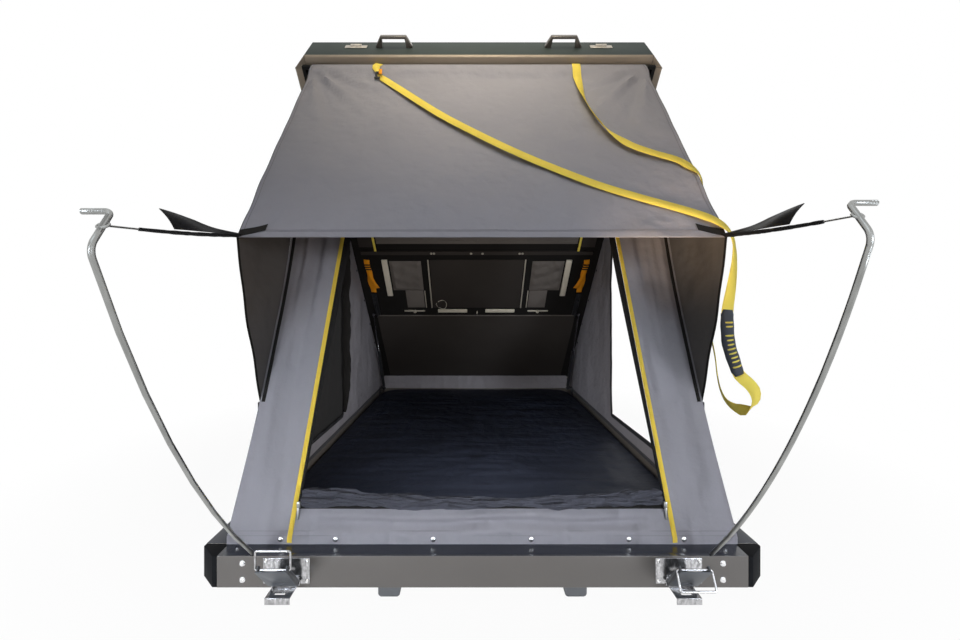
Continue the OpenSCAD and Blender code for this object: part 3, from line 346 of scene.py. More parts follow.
def domed_stud(name, centre, radius, height, out=AHEAD):
    """Snap head: a disc whose face is inset, raised and rounded."""
    deselect()
    bpy.ops.mesh.primitive_cylinder_add(vertices=24, radius=radius, depth=height * 0.5)
    obj = named(name)
    bpy.ops.object.mode_set(mode="EDIT")
    bpy.ops.mesh.select_all(action="DESELECT")
    bpy.ops.object.mode_set(mode="OBJECT")
    for f in obj.data.polygons:
        f.select = f.normal.z > 0.9
    bpy.ops.object.mode_set(mode="EDIT")
    for inset, rise in ((0.28, 0.3), (0.3, 0.2)):
        bpy.ops.mesh.inset(thickness=radius * inset)
        bpy.ops.transform.translate(value=(0, 0, height * rise))
    bpy.ops.object.mode_set(mode="OBJECT")
    turn = Vector((0, 0, 1)).rotation_difference(Vector(out)).to_matrix().to_4x4()
    obj.matrix_world = Matrix.Translation(centre) @ turn
    return smooth(settle(obj), 60)


def copies(obj, places, name):
    """Copies of a piece, each with its own mesh, moved by the given steps and joined."""
    made = []
    for step in places:
        other = obj.copy()
        other.data = obj.data.copy()
        bpy.context.collection.objects.link(other)
        other.location = step
        made.append(settle(other))
    bpy.data.objects.remove(obj)
    return join(name, made)


def mirrored(obj):
    """Adds the left half to a piece modelled on the right."""
    m = obj.modifiers.new("both", "MIRROR")
    m.use_axis = (True, False, False)
    m.use_mirror_merge = False
    return apply_modifiers(obj)


def length_of(path):
    return sum((Vector(b) - Vector(a)).length for a, b in zip(path, path[1:]))


def along(path):
    """Distance of each point of a path from its start."""
    run = [0.0]
    for a, b in zip(path, path[1:]):
        run.append(run[-1] + (Vector(b) - Vector(a)).length)
    return run


def new_mesh(name, verts, faces, chart, uv):
    """Object from points and faces. uv(vertex, face) gives each corner's place on the piece's own map."""
    mesh = bpy.data.meshes.new(name)
    mesh.from_pydata(verts, [], faces)
    layer = mesh.uv_layers.new(name=chart)
    for poly in mesh.polygons:
        for loop in poly.loop_indices:
            layer.data[loop].uv = uv(mesh.loops[loop].vertex_index, poly)
    obj = bpy.data.objects.new(name, mesh)
    bpy.context.collection.objects.link(obj)
    return obj


def cloth(name, rows, thickness=0.0, keep=None, uv=None, offset=-1.0):
    """Sheet over rows of points: its outer side is row step cross column step. UVs are in metres."""
    ni, nj = len(rows), len(rows[0])
    verts = [p for row in rows for p in row]
    quads = [(i, j) for i in range(ni - 1) for j in range(nj - 1) if keep is None or keep(i, j)]
    faces = [(i * nj + j, (i + 1) * nj + j, (i + 1) * nj + j + 1, i * nj + j + 1) for i, j in quads]
    if uv is None:
        across, up = along([row[nj // 2] for row in rows]), along(rows[ni // 2])
        uv = lambda i, j: (across[i], up[j])
    obj = edit(new_mesh(name, verts, faces, "cut", lambda v, poly: uv(v // nj, v % nj)), ("delete_loose", {}))
    if thickness:
        m = obj.modifiers.new("cloth", "SOLIDIFY")
        m.thickness = thickness
        m.offset = offset
        apply_modifiers(obj)
    return smooth(obj, 60)


def cut_area(obj, sides=2):
    """Cloth area of a sheet whose mesh shows that many of its sides."""
    return sum(p.area for p in obj.data.polygons) / sides


def curve(points, step):
    """Smooth curve through the points, sampled about every step, and each sample's place among them."""
    pts = [Vector(p) for p in points]
    last = len(pts) - 1
    marks, path = [], []
    for k in range(last):
        p0, p1, p2, p3 = pts[max(k - 1, 0)], pts[k], pts[k + 1], pts[min(k + 2, last)]
        n = max(1, round((p2 - p1).length / step))
        for t in [s / n for s in range(n)]:
            marks.append(k + t)
            path.append(0.5 * (2 * p1 + (p2 - p0) * t + (2 * p0 - 5 * p1 + 4 * p2 - p3) * t * t
                               + (3 * p1 - p0 - 3 * p2 + p3) * t ** 3))
    return marks + [last], path + [pts[-1]]


def swept(name, path, section, facing):
    """Closed tube along a path. section(k, t) gives (side, out) offsets; its front looks towards facing."""
    n = len(path)
    look = facing if callable(facing) else lambda k: facing
    rings = []
    for k, p in enumerate(path):
        head = (Vector(path[min(k + 1, n - 1)]) - Vector(path[max(k - 1, 0)])).normalized()
        side = head.cross(Vector(look(k))).normalized()
        out = side.cross(head)
        rings.append([Vector(p) + side * a + out * b for a, b in section(k, k / (n - 1))])
    m = len(rings[0])
    faces = [(k * m + j, k * m + (j + 1) % m, (k + 1) * m + (j + 1) % m, (k + 1) * m + j)
             for k in range(n - 1) for j in range(m)]
    faces += [tuple(range(m))[::-1], tuple((n - 1) * m + j for j in range(m))]
    dist = along(path)

    def uv(v, poly):
        j = v % m
        wraps = len(poly.vertices) == 4 and max(q % m for q in poly.vertices) == m - 1
        return dist[v // m], (m if wraps and j == 0 else j) / m
    obj = new_mesh(name, [v for ring in rings for v in ring], faces, "run", uv)
    return smooth(edit(obj, OUTWARD), 50)


def ribbon(width, thick):
    """Section of flat webbing with soft edges."""
    w, t = width / 2, thick / 2
    return [(-w, 0), (-w + t, -t), (0, -t), (w - t, -t), (w, 0), (w - t, t), (0, t), (-w + t, t)]


def oval(a, b, sides=16):
    angles = [2 * math.pi * k / sides for k in range(sides)]
    return [(a * math.cos(q), -b * math.sin(q)) for q in angles]


def tape(name, path, facing, width, thick):
    section = ribbon(width, thick)
    return swept(name, path, lambda k, t: section, facing)


def node_copy(node, name, edge=0.0, rim=False):
    """Copy of a CAD node, merged, with its sharp edges rounded."""
    source = frame["nodes"][node]
    obj = source.copy()
    obj.data = source.data.copy()
    obj.animation_data_clear()
    bpy.context.collection.objects.link(obj)
    obj.hide_render = False
    pick(obj)
    named(name)
    obj.data.materials.clear()
    edit(obj, ("remove_doubles", {"threshold": 0.00002}),
         ("dissolve_limited", {"angle_limit": math.radians(1.0)}))
    if edge:
        bevel_edges(obj, edge, 28, rim)
    return smooth(obj, 32)


def paint(obj, *materials):
    while len(obj.data.materials) < len(materials):
        obj.data.materials.append(None)
    for k, m in enumerate(materials):
        obj.data.materials[k] = m
    return obj


def carry(obj, body, slot, *nodes):
    """States what the piece rides on and the CAD nodes it stands for. The slot is not used."""
    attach(obj, body)
    if nodes:
        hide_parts(*nodes)
    return obj


def fold_awning(*objs):
    """Gives pieces of the awning their own meshes."""
    for o in objs:
        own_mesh(o)


def fold_wall(*objs):
    """Gives pieces of the walls their own meshes."""
    for o in objs:
        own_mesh(o)


# Finishes

FLOAT, VECTOR, TONE = "NodeSocketFloat", "NodeSocketVector", "NodeSocketColor"


def group(name, inputs, outputs):
    """Node group whose first input is the place on the surface."""
    tree = bpy.data.node_groups.new(name, "ShaderNodeTree")
    for label, kind, default in [("Vector", VECTOR, (0, 0, 0))] + inputs:
        s = tree.interface.new_socket(name=label, in_out="INPUT", socket_type=kind)
        s.default_value = default
    for label, kind in outputs:
        tree.interface.new_socket(name=label, in_out="OUTPUT", socket_type=kind)
    return tree, tree.nodes.new("NodeGroupInput"), tree.nodes.new("NodeGroupOutput")


def math_node(tree, op, a, b=None):
    n = tree.nodes.new("ShaderNodeMath")
    n.operation = op
    for k, v in enumerate((a, b)):
        if v is None:
            continue
        if isinstance(v, (int, float)):
            n.inputs[k].default_value = v
        else:
            tree.links.new(v, n.inputs[k])
    return n.outputs[0]


def weave_group():
    """Plain weave: threads that pass over and under each other, in metres on the cloth's own map."""
    tree, gin, gout = group("Plain weave", [("Threads", FLOAT, 900.0)], [("Height", FLOAT)])
    parts = tree.nodes.new("ShaderNodeSeparateXYZ")
    tree.links.new(gin.outputs["Vector"], parts.inputs[0])
    waves = []
    for axis in (0, 1):
        turned = math_node(tree, "MULTIPLY", parts.outputs[axis], gin.outputs["Threads"])
        waves.append(math_node(tree, "SINE", math_node(tree, "MULTIPLY", turned, math.pi)))
    tree.links.new(math_node(tree, "MULTIPLY", *waves), gout.inputs["Height"])
    return tree


def mottle_group():
    """Slow changes of tone over a surface, with finer specks."""
    tree, gin, gout = group(
        "Mottle", [("Color", TONE, (1, 1, 1, 1)), ("Scale", FLOAT, 4.0), ("Amount", FLOAT, 0.15)],
        [("Color", TONE), ("Mask", FLOAT)])
    cloud = tree.nodes.new("ShaderNodeTexNoise")
    cloud.inputs["Detail"].default_value = 5
    tree.links.new(gin.outputs["Vector"], cloud.inputs["Vector"])
    tree.links.new(gin.outputs["Scale"], cloud.inputs["Scale"])
    swing = math_node(tree, "MULTIPLY", math_node(tree, "SUBTRACT", cloud.outputs["Fac"], 0.5), 2.0)
    level = math_node(tree, "ADD", math_node(tree, "MULTIPLY", swing, gin.outputs["Amount"]), 1.0)
    mix = tree.nodes.new("ShaderNodeVectorMath")
    mix.operation = "SCALE"
    tree.links.new(gin.outputs["Color"], mix.inputs[0])
    tree.links.new(level, mix.inputs["Scale"])
    tree.links.new(mix.outputs[0], gout.inputs["Color"])
    tree.links.new(cloud.outputs["Fac"], gout.inputs["Mask"])
    return tree


def rib_group():
    """Slanting ribs across webbing, counted along its run."""
    slant = 40.0
    tree, gin, gout = group("Webbing ribs", [("Ribs", FLOAT, 500.0)], [("Height", FLOAT)])
    parts = tree.nodes.new("ShaderNodeSeparateXYZ")
    tree.links.new(gin.outputs["Vector"], parts.inputs[0])
    run = math_node(tree, "MULTIPLY", parts.outputs[0], gin.outputs["Ribs"])
    side = math_node(tree, "MULTIPLY", parts.outputs[1], slant)
    wave = math_node(tree, "SINE",
                     math_node(tree, "ADD", math_node(tree, "MULTIPLY", run, 2 * math.pi), side))
    tree.links.new(wave, gout.inputs["Height"])
    return tree


GROUPS = {}
FINISHES = {}


def place_group(tree, maker, vector, **values):
    """Places a shared node group, built at its first use, with its own values."""
    if maker not in GROUPS:
        GROUPS[maker] = maker()
    n = tree.nodes.new("ShaderNodeGroup")
    n.node_tree = GROUPS[maker]
    tree.links.new(vector, n.inputs["Vector"])
    for label, value in values.items():
        n.inputs[label].default_value = value
    return n


def stretched(tree, vector, scale):
    n = tree.nodes.new("ShaderNodeMapping")
    n.inputs["Scale"].default_value = scale
    tree.links.new(vector, n.inputs["Vector"])
    return n.outputs[0]


def start(name, colour, scale, mottle, roughness, metallic=0.0, streaks=None):
    """Material with mottled colour. Returns it with its tree, shader, coordinates and mottle mask."""
    mat = bpy.data.materials.new(name)
    mat.use_nodes = True
    tree = mat.node_tree
    bsdf = tree.nodes["Principled BSDF"]
    bsdf.inputs["Roughness"].default_value = roughness
    bsdf.inputs["Metallic"].default_value = metallic
    coords = tree.nodes.new("ShaderNodeTexCoord")
    where = coords.outputs["Object"]
    if streaks:
        where = stretched(tree, where, streaks)
    tone = place_group(tree, mottle_group, where, Color=(*colour, 1), Scale=scale, Amount=mottle)
    tree.links.new(tone.outputs["Color"], bsdf.inputs["Base Color"])
    return mat, tree, bsdf, coords, tone.outputs["Mask"]


def add_bump(tree, bsdf, height, strength, distance, below=None):
    b = tree.nodes.new("ShaderNodeBump")
    b.inputs["Strength"].default_value = strength
    b.inputs["Distance"].default_value = distance
    tree.links.new(height, b.inputs["Height"])
    if below:
        tree.links.new(below, b.inputs["Normal"])
    tree.links.new(b.outputs[0], bsdf.inputs["Normal"])
    return b.outputs[0]


def noise_height(tree, vector, scale, detail):
    n = tree.nodes.new("ShaderNodeTexNoise")
    n.inputs["Scale"].default_value = scale
    n.inputs["Detail"].default_value = detail
    tree.links.new(vector, n.inputs["Vector"])
    return n.outputs["Fac"]


def vary(tree, mask, socket, low, high):
    """Lets a mask swing a socket between two values."""
    n = tree.nodes.new("ShaderNodeMapRange")
    n.inputs["To Min"].default_value = low
    n.inputs["To Max"].default_value = high
    tree.links.new(mask, n.inputs["Value"])
    tree.links.new(n.outputs[0], socket)


def cloth_finish(name, colour, threads=700.0, mottle=0.10, creases=0.35, roughness=0.82, shine=0.15,
                 wrinkle=None, depth=0.0):
    """Woven cloth with creases and slow folds. wrinkle stretches a third, longer fold along each axis."""
    mat, tree, bsdf, coords, mask = start(name, colour, 3.5, mottle, roughness)
    vary(tree, mask, bsdf.inputs["Roughness"], roughness - 0.08, roughness + 0.08)
    place = coords.outputs["Object"]
    weave = place_group(tree, weave_group, coords.outputs["UV"], Threads=threads)
    below = add_bump(tree, bsdf, weave.outputs["Height"], 0.25, 0.0004)
    for scale, detail, height in ((16.0, 6, 0.008), (4.5, 3, 0.045)):
        below = add_bump(tree, bsdf, noise_height(tree, place, scale, detail), creases, height, below)
    if wrinkle:
        add_bump(tree, bsdf, noise_height(tree, stretched(tree, place, wrinkle), 1.0, 1.5), 0.8, depth, below)
    bsdf.inputs["Specular IOR Level"].default_value = shine
    return mat


def webbing_finish(name, colour, ribs=420.0):
    mat, tree, bsdf, coords, _ = start(name, colour, 22.0, 0.10, 0.62)
    rib = place_group(tree, rib_group, coords.outputs["UV"], Ribs=ribs)
    add_bump(tree, bsdf, rib.outputs["Height"], 0.6, 0.0006)
    bsdf.inputs["Specular IOR Level"].default_value = 0.15
    return mat


def coat_finish(name, colour, roughness=0.42, metallic=0.0, grain=900.0, mottle=0.08, coat=0.0, shine=0.5):
    """Powder coat, moulded plastic or anodised metal with a fine grain."""
    mat, tree, bsdf, coords, mask = start(name, colour, 9.0, mottle, roughness, metallic)
    vary(tree, mask, bsdf.inputs["Roughness"], roughness - 0.07, roughness + 0.09)
    add_bump(tree, bsdf, noise_height(tree, coords.outputs["Object"], grain, 2), 0.12, 0.0004)
    bsdf.inputs["Coat Weight"].default_value = coat
    bsdf.inputs["Coat Roughness"].default_value = 0.12
    bsdf.inputs["Specular IOR Level"].default_value = shine
    return mat


def metal_finish(name, colour, roughness=0.25, streaks=(30.0, 30.0, 30.0), mottle=0.12):
    """Plated or drawn metal with faint streaks."""
    mat, tree, bsdf, _, mask = start(name, colour, 2.0, mottle, roughness, 1.0, streaks)
    vary(tree, mask, bsdf.inputs["Roughness"], roughness * 0.6, roughness * 1.5)
    return mat


def mesh_finish(name, colour):
    """Insect mesh: dark threads with small openings."""
    mat, tree, bsdf, coords, _ = start(name, colour, 5.0, 0.25, 0.8)
    weave = place_group(tree, weave_group, coords.outputs["UV"], Threads=420.0)
    vary(tree, weave.outputs["Height"], bsdf.inputs["Alpha"], 0.985, 1.0)
    bsdf.inputs["Specular IOR Level"].default_value = 0.1
    return mat


# Finish: how it is made, its name, its colour or the setting that gives it, and what else it needs
LOOKS = {
    "canvas": (cloth_finish, "Canvas", "canvas",
               {"creases": 0.85, "shine": 0.3, "wrinkle": (13, 3, 2.4), "depth": 0.035}),
    # The walls' canvas, painted paler and bluer through TINTS: painted light on the awning
    "canopy painted light": (cloth_finish, "Awning canvas", "canvas", {"creases": 0.8, "shine": 0.3}),
    "canvas hem": (cloth_finish, "Canvas hem", "canvas", {"mottle": 0.06}),
    "lining": (cloth_finish, "Dark lining", "lining", {"threads": 600.0, "mottle": 0.2, "roughness": 0.88}),
    "gusset": (cloth_finish, "Gusset cloth", (0.120, 0.109, 0.103), {"mottle": 0.15, "creases": 0.6}),
    "bedding": (cloth_finish, "Mattress cover", "bedding",
                {"threads": 500.0, "mottle": 0.22, "creases": 0.7, "roughness": 0.6, "wrinkle": (2.4, 13, 8),
                 "depth": 0.022}),
    "roll": (cloth_finish, "Rolled door", (0.070, 0.070, 0.086),
             {"mottle": 0.35, "creases": 1.0, "shine": 0.3, "wrinkle": (16, 90, 110), "depth": 0.03}),
    "pocket": (cloth_finish, "Pocket cloth", (0.17, 0.15, 0.135), {"mottle": 0.25, "creases": 0.7}),
    "board": (cloth_finish, "Board cover", (0.048, 0.041, 0.037), {"mottle": 0.25, "creases": 0.08}),
    "grip": (cloth_finish, "Grip sleeve", (0.072, 0.076, 0.088), {"threads": 400.0, "creases": 0.2}),
    "mesh": (mesh_finish, "Insect mesh", (0.014, 0.013, 0.013), {}),
    "yellow": (webbing_finish, "Yellow webbing", "webbing", {}),
    "tape": (webbing_finish, "Door tape", (0.86, 0.60, 0.075), {}),
    "orange": (webbing_finish, "Orange webbing", "strap", {}),
    "black webbing": (webbing_finish, "Black webbing", (0.012, 0.012, 0.013), {"ribs": 160.0}),
    "binding": (webbing_finish, "Dark binding", (0.040, 0.040, 0.044), {"ribs": 600.0}),
    "base": (coat_finish, "Base powder coat", "base", {"roughness": 0.38, "mottle": 0.06, "coat": 0.15}),
    # Light metallic colour on the base rails' rounded edges: a painted highlight
    "base edge": (coat_finish, "Base edge", (0.46, 0.43, 0.41), {"roughness": 0.3, "metallic": 0.6}),
    "lid": (coat_finish, "Lid powder coat", "lid", {"roughness": 0.62, "mottle": 0.06, "shine": 0.16}),
    "band": (coat_finish, "Lid band", "band", {"roughness": 0.5, "metallic": 0.3}),
    # The band's colour darkened for the frame's inner side: painted shade
    "band inside": (coat_finish, "Lid inner face", (0.040, 0.033, 0.027),
                    {"roughness": 0.45, "mottle": 0.3, "shine": 0.25}),
    "handle": (coat_finish, "Handle", (0.115, 0.100, 0.085),
               {"roughness": 0.32, "metallic": 0.3, "coat": 0.3}),
    "black metal": (coat_finish, "Black metal", (0.022, 0.022, 0.024), {"roughness": 0.35, "shine": 0.4}),
    "casting": (coat_finish, "Black casting", (0.012, 0.012, 0.013),
                {"roughness": 0.75, "grain": 300.0, "mottle": 0.3, "shine": 0.05}),
    "plastic": (coat_finish, "Black plastic", (0.018, 0.018, 0.018),
                {"roughness": 0.5, "grain": 1400.0, "shine": 0.3}),
    "rubber": (coat_finish, "Rubber seal", (0.012, 0.012, 0.012),
               {"roughness": 0.75, "grain": 500.0, "shine": 0.15}),
    # Dark bluish top faces of the base rails: the dark seal on the ledge, with painted shade under the canvas
    # hem
    "ledge": (coat_finish, "Ledge", (0.030, 0.034, 0.046), {"roughness": 0.2, "grain": 300.0, "shine": 0.45}),
    "track": (coat_finish, "Hem track", (0.075, 0.075, 0.080),
              {"roughness": 0.6, "grain": 700.0, "shine": 0.2}),
    "pale": (coat_finish, "Pale plated rod", (0.52, 0.47, 0.39),
             {"roughness": 0.35, "grain": 500.0, "mottle": 0.3}),
    "lever": (coat_finish, "Dark plated lever", (0.088, 0.092, 0.098),
              {"grain": 160.0, "mottle": 0.3, "shine": 0.4}),
    "cap": (coat_finish, "Rail end cap", (0.125, 0.125, 0.125),
            {"roughness": 0.55, "grain": 600.0, "mottle": 0.2, "shine": 0.3}),
    "light": (coat_finish, "Light cover", (0.80, 0.73, 0.60), {"roughness": 0.4, "grain": 200.0}),
    "aluminium": (metal_finish, "Aluminium", (0.62, 0.61, 0.60), {"roughness": 0.35}),
    "chrome": (metal_finish, "Plated steel", (0.50, 0.50, 0.51),
               {"roughness": 0.2, "streaks": (70.0, 70.0, 40.0), "mottle": 0.85}),
    "keeper": (metal_finish, "Keeper", (0.46, 0.42, 0.36),
               {"roughness": 0.45, "streaks": (60.0, 60.0, 60.0), "mottle": 0.7}),
    "bright": (metal_finish, "Bright plated stud", (0.86, 0.86, 0.87), {"roughness": 0.22, "mottle": 0.2}),
    "zinc": (metal_finish, "Zinc plated rod", (0.34, 0.345, 0.335),
             {"roughness": 0.32, "streaks": (60.0, 12.0, 12.0), "mottle": 0.45}),
}
# The awning is painted paler and bluer than the walls: the same canvas with painted light. Their hems are
# darker
TINTS = {"canopy painted light": (1.12, 1.16, 1.22), "canvas hem": (0.82, 0.82, 0.82)}


def finish(key):
    """The finish of that name, made at its first use."""
    if key not in FINISHES:
        maker, name, colour, options = LOOKS[key]
        if isinstance(colour, str):
            colour = getattr(bpy.context.scene.tent_colours, colour)
        if key in TINTS:
            colour = [c * t for c, t in zip(colour, TINTS[key])]
        FINISHES[key] = maker(name, colour, **options)
    return FINISHES[key]


def piece(name, parts, look, body, slot, *nodes):
    """Joins parts into one piece, with its finish, its body and the CAD nodes it stands for. The slot is not
    used.
    """
    return carry(paint(join(name, parts), finish(look)), body, slot, *nodes)


# The pull strap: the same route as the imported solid, with the way its face looks
ASIDE = (0.9, -0.43, 0)
TWIST = (0.80, -0.47, 0.37)
STRAP_ROUTE = [
    ((-0.376, -0.4458, 1.6049), UP), ((-0.376, -0.477, 1.568), UP), ((-0.264, -0.558, 1.466), UP),
    ((-0.134, -0.646, 1.354), UP), ((0.0, -0.722, 1.257), UP), ((0.122, -0.785, 1.177), UP),
    ((0.236, -0.836, 1.112), UP), ((0.342, -0.878, 1.058), UP), ((0.446, -0.911, 1.016), UP),
    ((0.545, -0.939, 0.980), UP), ((0.606, -0.960, 0.954), UP), ((0.636, -0.979, 0.932), (0.25, -0.75, 0.6)),
    ((0.655, -0.989, 0.906), (0.6, -0.6, 0.5)), ((0.661, -0.996, 0.872), (0.75, -0.66, 0)),
    ((0.657, -1.003, 0.825), (0.6, -0.8, 0)), ((0.646, -1.010, 0.768), (0.3, -0.95, 0)),
    ((0.634, -1.013, 0.705), AHEAD), ((0.633, -1.013, 0.662), AHEAD),
    ((0.637, -1.013, 0.616), AHEAD), ((0.650, -1.013, 0.573), AHEAD), ((0.664, -1.013, 0.537), AHEAD),
    ((0.686, -1.013, 0.517), AHEAD), ((0.704, -1.012, 0.496), AHEAD), ((0.711, -1.008, 0.470), (0.4, -1, 0)),
    ((0.704, -0.996, 0.446), (0.8, -0.8, 0)), ((0.688, -0.976, 0.438), (1, -0.3, 0)),
    ((0.668, -0.950, 0.452), ASIDE), ((0.660, -0.930, 0.482), ASIDE), ((0.658, -0.916, 0.524), ASIDE),
    ((0.658, -0.906, 0.568), ASIDE), ((0.656, -0.882, 0.650), ASIDE), ((0.656, -0.874, 0.760), ASIDE),
    ((0.656, -0.866, 0.880), ASIDE), ((0.656, -0.856, 0.980), ASIDE), ((0.654, -0.846, 1.050), ASIDE),
    ((0.648, -0.837, 1.099), (0.6, -0.5, 0.6)), ((0.622, -0.822, 1.130), UP), ((0.592, -0.800, 1.157), UP),
    ((0.524, -0.778, 1.186), UP), ((0.458, -0.746, 1.227), UP), ((0.403, -0.683, 1.307), TWIST),
    ((0.368, -0.587, 1.430), TWIST), ((0.364, -0.492, 1.552), UP), ((0.366, -0.4458, 1.6049), UP)]
STRAP_STEP = 0.012
GRIP_FIRST, GRIP_LAST = 16, 20       # points of the route between which the grip sits
GRIP_DEPTH = 0.0125
GRIP_BARS = 11
PINCH, PINCH_REACH = 0.55, 0.022     # share of the width lost at the hook, and how far it is felt
HOOK_BAR = ((-0.011, -0.003, -0.006), (0.011, 0.003, 0.002))
HOOK_ARM = ((-0.011, -0.006, -0.024), (-0.005, 0, -0.002))
HOOK_TOGGLE = (-0.004, -0.006, -0.024)


class TENT_OT_pull_strap(bpy.types.Operator):
    """Yellow pull strap over the awning, with its padded grip, stitching, hook and tag"""
    bl_idname = "tent.pull_strap"
    bl_label = "Pull strap"

    def execute(self, context):
        sizes = context.scene.tent_sizes
        marks, path = curve([p for p, _ in STRAP_ROUTE], STRAP_STEP)
        path = [q + AWNING_OUT * lifted(1 + (q - Vector(LIP)).dot(RUN) / AWNING_RUN) for q in path]
        looks = [Vector(look) for _, look in STRAP_ROUTE]

        def facing(k):
            a = int(marks[k])
            return looks[a].lerp(looks[min(a + 1, len(looks) - 1)], marks[k] - a).normalized()

        second = Vector(STRAP_ROUTE[1][0]) - RUN * 0.010
        knot = min(path, key=lambda q: (q - second).length)

        def band(k, t):
            pinch = PINCH * math.exp(-((path[k] - knot).length / PINCH_REACH) ** 2)
            return ribbon(sizes.strap_width * (1 - pinch), sizes.webbing)
        strap = piece("pull_strap_webbing", [swept("band", path, band, facing)],
                      "yellow", "lid", "webbing_yellow", "pull_strap")
        held = [p for p, mark in zip(path, marks) if GRIP_FIRST <= mark <= GRIP_LAST]
        n = len(held)

        def sleeve(k, t):
            swell = 0.86 + 0.14 * bump(t) ** 0.35 if 0 < k < n - 1 else 0.72
            swell *= 1 + 0.03 * math.cos(2 * math.pi * t * GRIP_BARS)
            return oval(sizes.grip / 2 * swell, GRIP_DEPTH * swell, 20)
        grip = piece("pull_strap_sleeve", [swept("sleeve", held, sleeve, AHEAD)],
                     "grip", "lid", "webbing_black", "pull_strap_grip")
        bars = []
        for place in spaced(0.22, 0.97, GRIP_BARS - 1):
            k = round(place * (n - 1))
            head = (held[min(k + 1, n - 1)] - held[max(k - 1, 0)]).normalized()
            side = head.cross(Vector(AHEAD)).normalized()
            arc = [held[k] + side * (0.0135 * math.sin(a)) + Vector(AHEAD) * (0.0128 * math.cos(a))
                   for a in spaced(-0.95, 0.95, 8)]
            bars.append(tape("bar", arc, AHEAD, 0.0042, 0.0016))
        stitches = piece("pull_strap_stitches", bars, "yellow", "lid", "webbing_yellow")
        hook = knot + AWNING_OUT * 0.007
        parts = [block("hook", *[hook + Vector(corner) for corner in corners], 0.0015)
                 for corners in (HOOK_BAR, HOOK_ARM)]
        parts.append(pin("toggle", hook + Vector(HOOK_TOGGLE), 0.0042, 0.022, "X", 0.0015))
        buckle = piece("pull_strap_buckle", parts, "plastic", "lid", "black_plastic")
        run = [hook + AWNING_OUT * 0.004 + Vector((0.006 + 0.004 * q, 0, 0)) + RUN * lerp(0.014, -0.022, q)
               for q in spaced(0, 1, 8)]
        tag = piece("pull_strap_tag", [tape("tag", run, UP, 0.012, 0.0016)],
                    "orange", "lid", "webbing_orange")
        tuple(path[0])
        round(length_of(path), 3)
        [tuple(p) for p in path]
        fold_awning(strap, grip, stitches, buckle, tag)
        return {"FINISHED"}


# The rods' own shape gives the place where each tie starts
ROD_X = 0.558
ROD_FOOT = 0.010
ROD_RISE = {"left": 42.9, "right": 45.5}
BOW_START, BOW_RADIUS, BOW_SWEEP = 0.014, 1.97, 24.0
TIP_RADIUS, TIP_BEND, TIP_LENGTH, TIP_SHARE = 0.028, 58.0, 0.046, 0.6


def rod_tip(rise):
    """Place of the tie's ring on the rod's tip: forward of the foot, above the ledge, and the tip's slope."""
    x, z = BOW_START * math.cos(math.radians(rise)), BOW_START * math.sin(math.radians(rise))
    for sweep, radius in ((BOW_SWEEP, BOW_RADIUS), (TIP_BEND, TIP_RADIUS)):
        a, b = math.radians(rise), math.radians(rise + sweep)
        x += radius * (math.sin(b) - math.sin(a))
        z += radius * (math.cos(a) - math.cos(b))
        rise += sweep
    a = math.radians(rise)
    return x + TIP_SHARE * TIP_LENGTH * math.cos(a), z + TIP_SHARE * TIP_LENGTH * math.sin(a), a


TIE_END = Vector((-AWNING_HALF + 0.004, *AWNING_EDGE)) + AWNING_OUT * 0.0023 + RUN * 0.004
TIE_SAG = 0.004
TAB_WIDTH, TAB_SHARE, TAB_SLANT, TAB_LIFT = 0.037, 0.62, 0.12, 0.0023
TAB_CELLS = 6


class TENT_OT_ties(bpy.types.Operator):
    """Awning ties with their rings and loose tabs of ribbed webbing"""
    bl_idname = "tent.ties"
    bl_label = "Awning ties"

    def execute(self, context):
        for side, sign in (("left", 1), ("right", -1)):
            flip = Vector((sign, 1, 1))
            reach, height, slope = rod_tip(ROD_RISE[side])
            a, b = Vector((-ROD_X, FRONT + ROD_FOOT - reach, LEDGE + height)) * flip, TIE_END * flip
            hung = [a.lerp(b, q) + Vector((0, 0, -TIE_SAG * bump(q))) for q in spaced(0, 1, 24)]
            path = curve(hung, 0.006)[1]

            def band(k, t):
                high = lerp(0.0032, 0.0066, t) * (1 + 0.22 * rough(t * 13, 1.0, sign))
                return oval(high, 0.0022 + 0.0012 * t, 14)
            cord = swept("cord", path[len(path) // 6:], band, AHEAD)
            spike = swept("spike", path[2:len(path) // 5], lambda k, t: oval(0.0017, 0.0017, 10), (0, 0, 1))

            def tab_row(q):
                turn = math.radians(12 + 62 * q ** 1.4)
                out = Vector((-math.cos(turn) * 0.55 * sign, -math.cos(turn) * 0.3, math.sin(turn)))
                width = TAB_WIDTH * min(1.0, 0.35 + q * 1.2)
                curl = 0.004 * math.sin(q * 9)
                return [b.lerp(a, TAB_SHARE * q * (1 + TAB_SLANT * s)) + Vector((0, 0, TAB_LIFT))
                        + out * (width * s) + Vector((sign * curl * bump(s), 0, 0.002 * bump(s)))
                        for s in spaced(0, 1, TAB_CELLS)]
            tab = cloth("tab", [tab_row(q) for q in spaced(0, 1, 40)], 0.0016,
                        uv=lambda i, j: (i * 0.01, j / TAB_CELLS), offset=0)
            tie = piece(f"awning_tie_{side}_webbing", [cord, tab], "black webbing", f"awning_rod_{side}",
                        "webbing_black", f"awning_tie_{side}")
            deselect()
            bpy.ops.mesh.primitive_torus_add(major_radius=0.0075, minor_radius=0.0022, major_segments=28,
                                             minor_segments=10, location=a,
                                             rotation=(slope - math.pi / 2, 0, 0))
            ring = smooth(settle(named("ring")), 60)
            piece(f"awning_tie_{side}_ring", [ring, spike], "zinc", f"awning_rod_{side}", "zinc_steel")
            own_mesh(tie)
        return {"FINISHED"}


# Canvas: the entrance on the front wall, the flat cloth beside it and the way the entrance faces
DOOR_SHARE = 0.5        # the entrance's edge on the wall's own scale from -1 to 1
PLAIN_STRIP = 0.15      # flat cloth beside the entrance, as a share of the panel
DOOR_LOOK = (0, -0.93, 0.37)
FRONT_LIFT = Vector((0, -CANVAS / 2 - SEAT, 0))


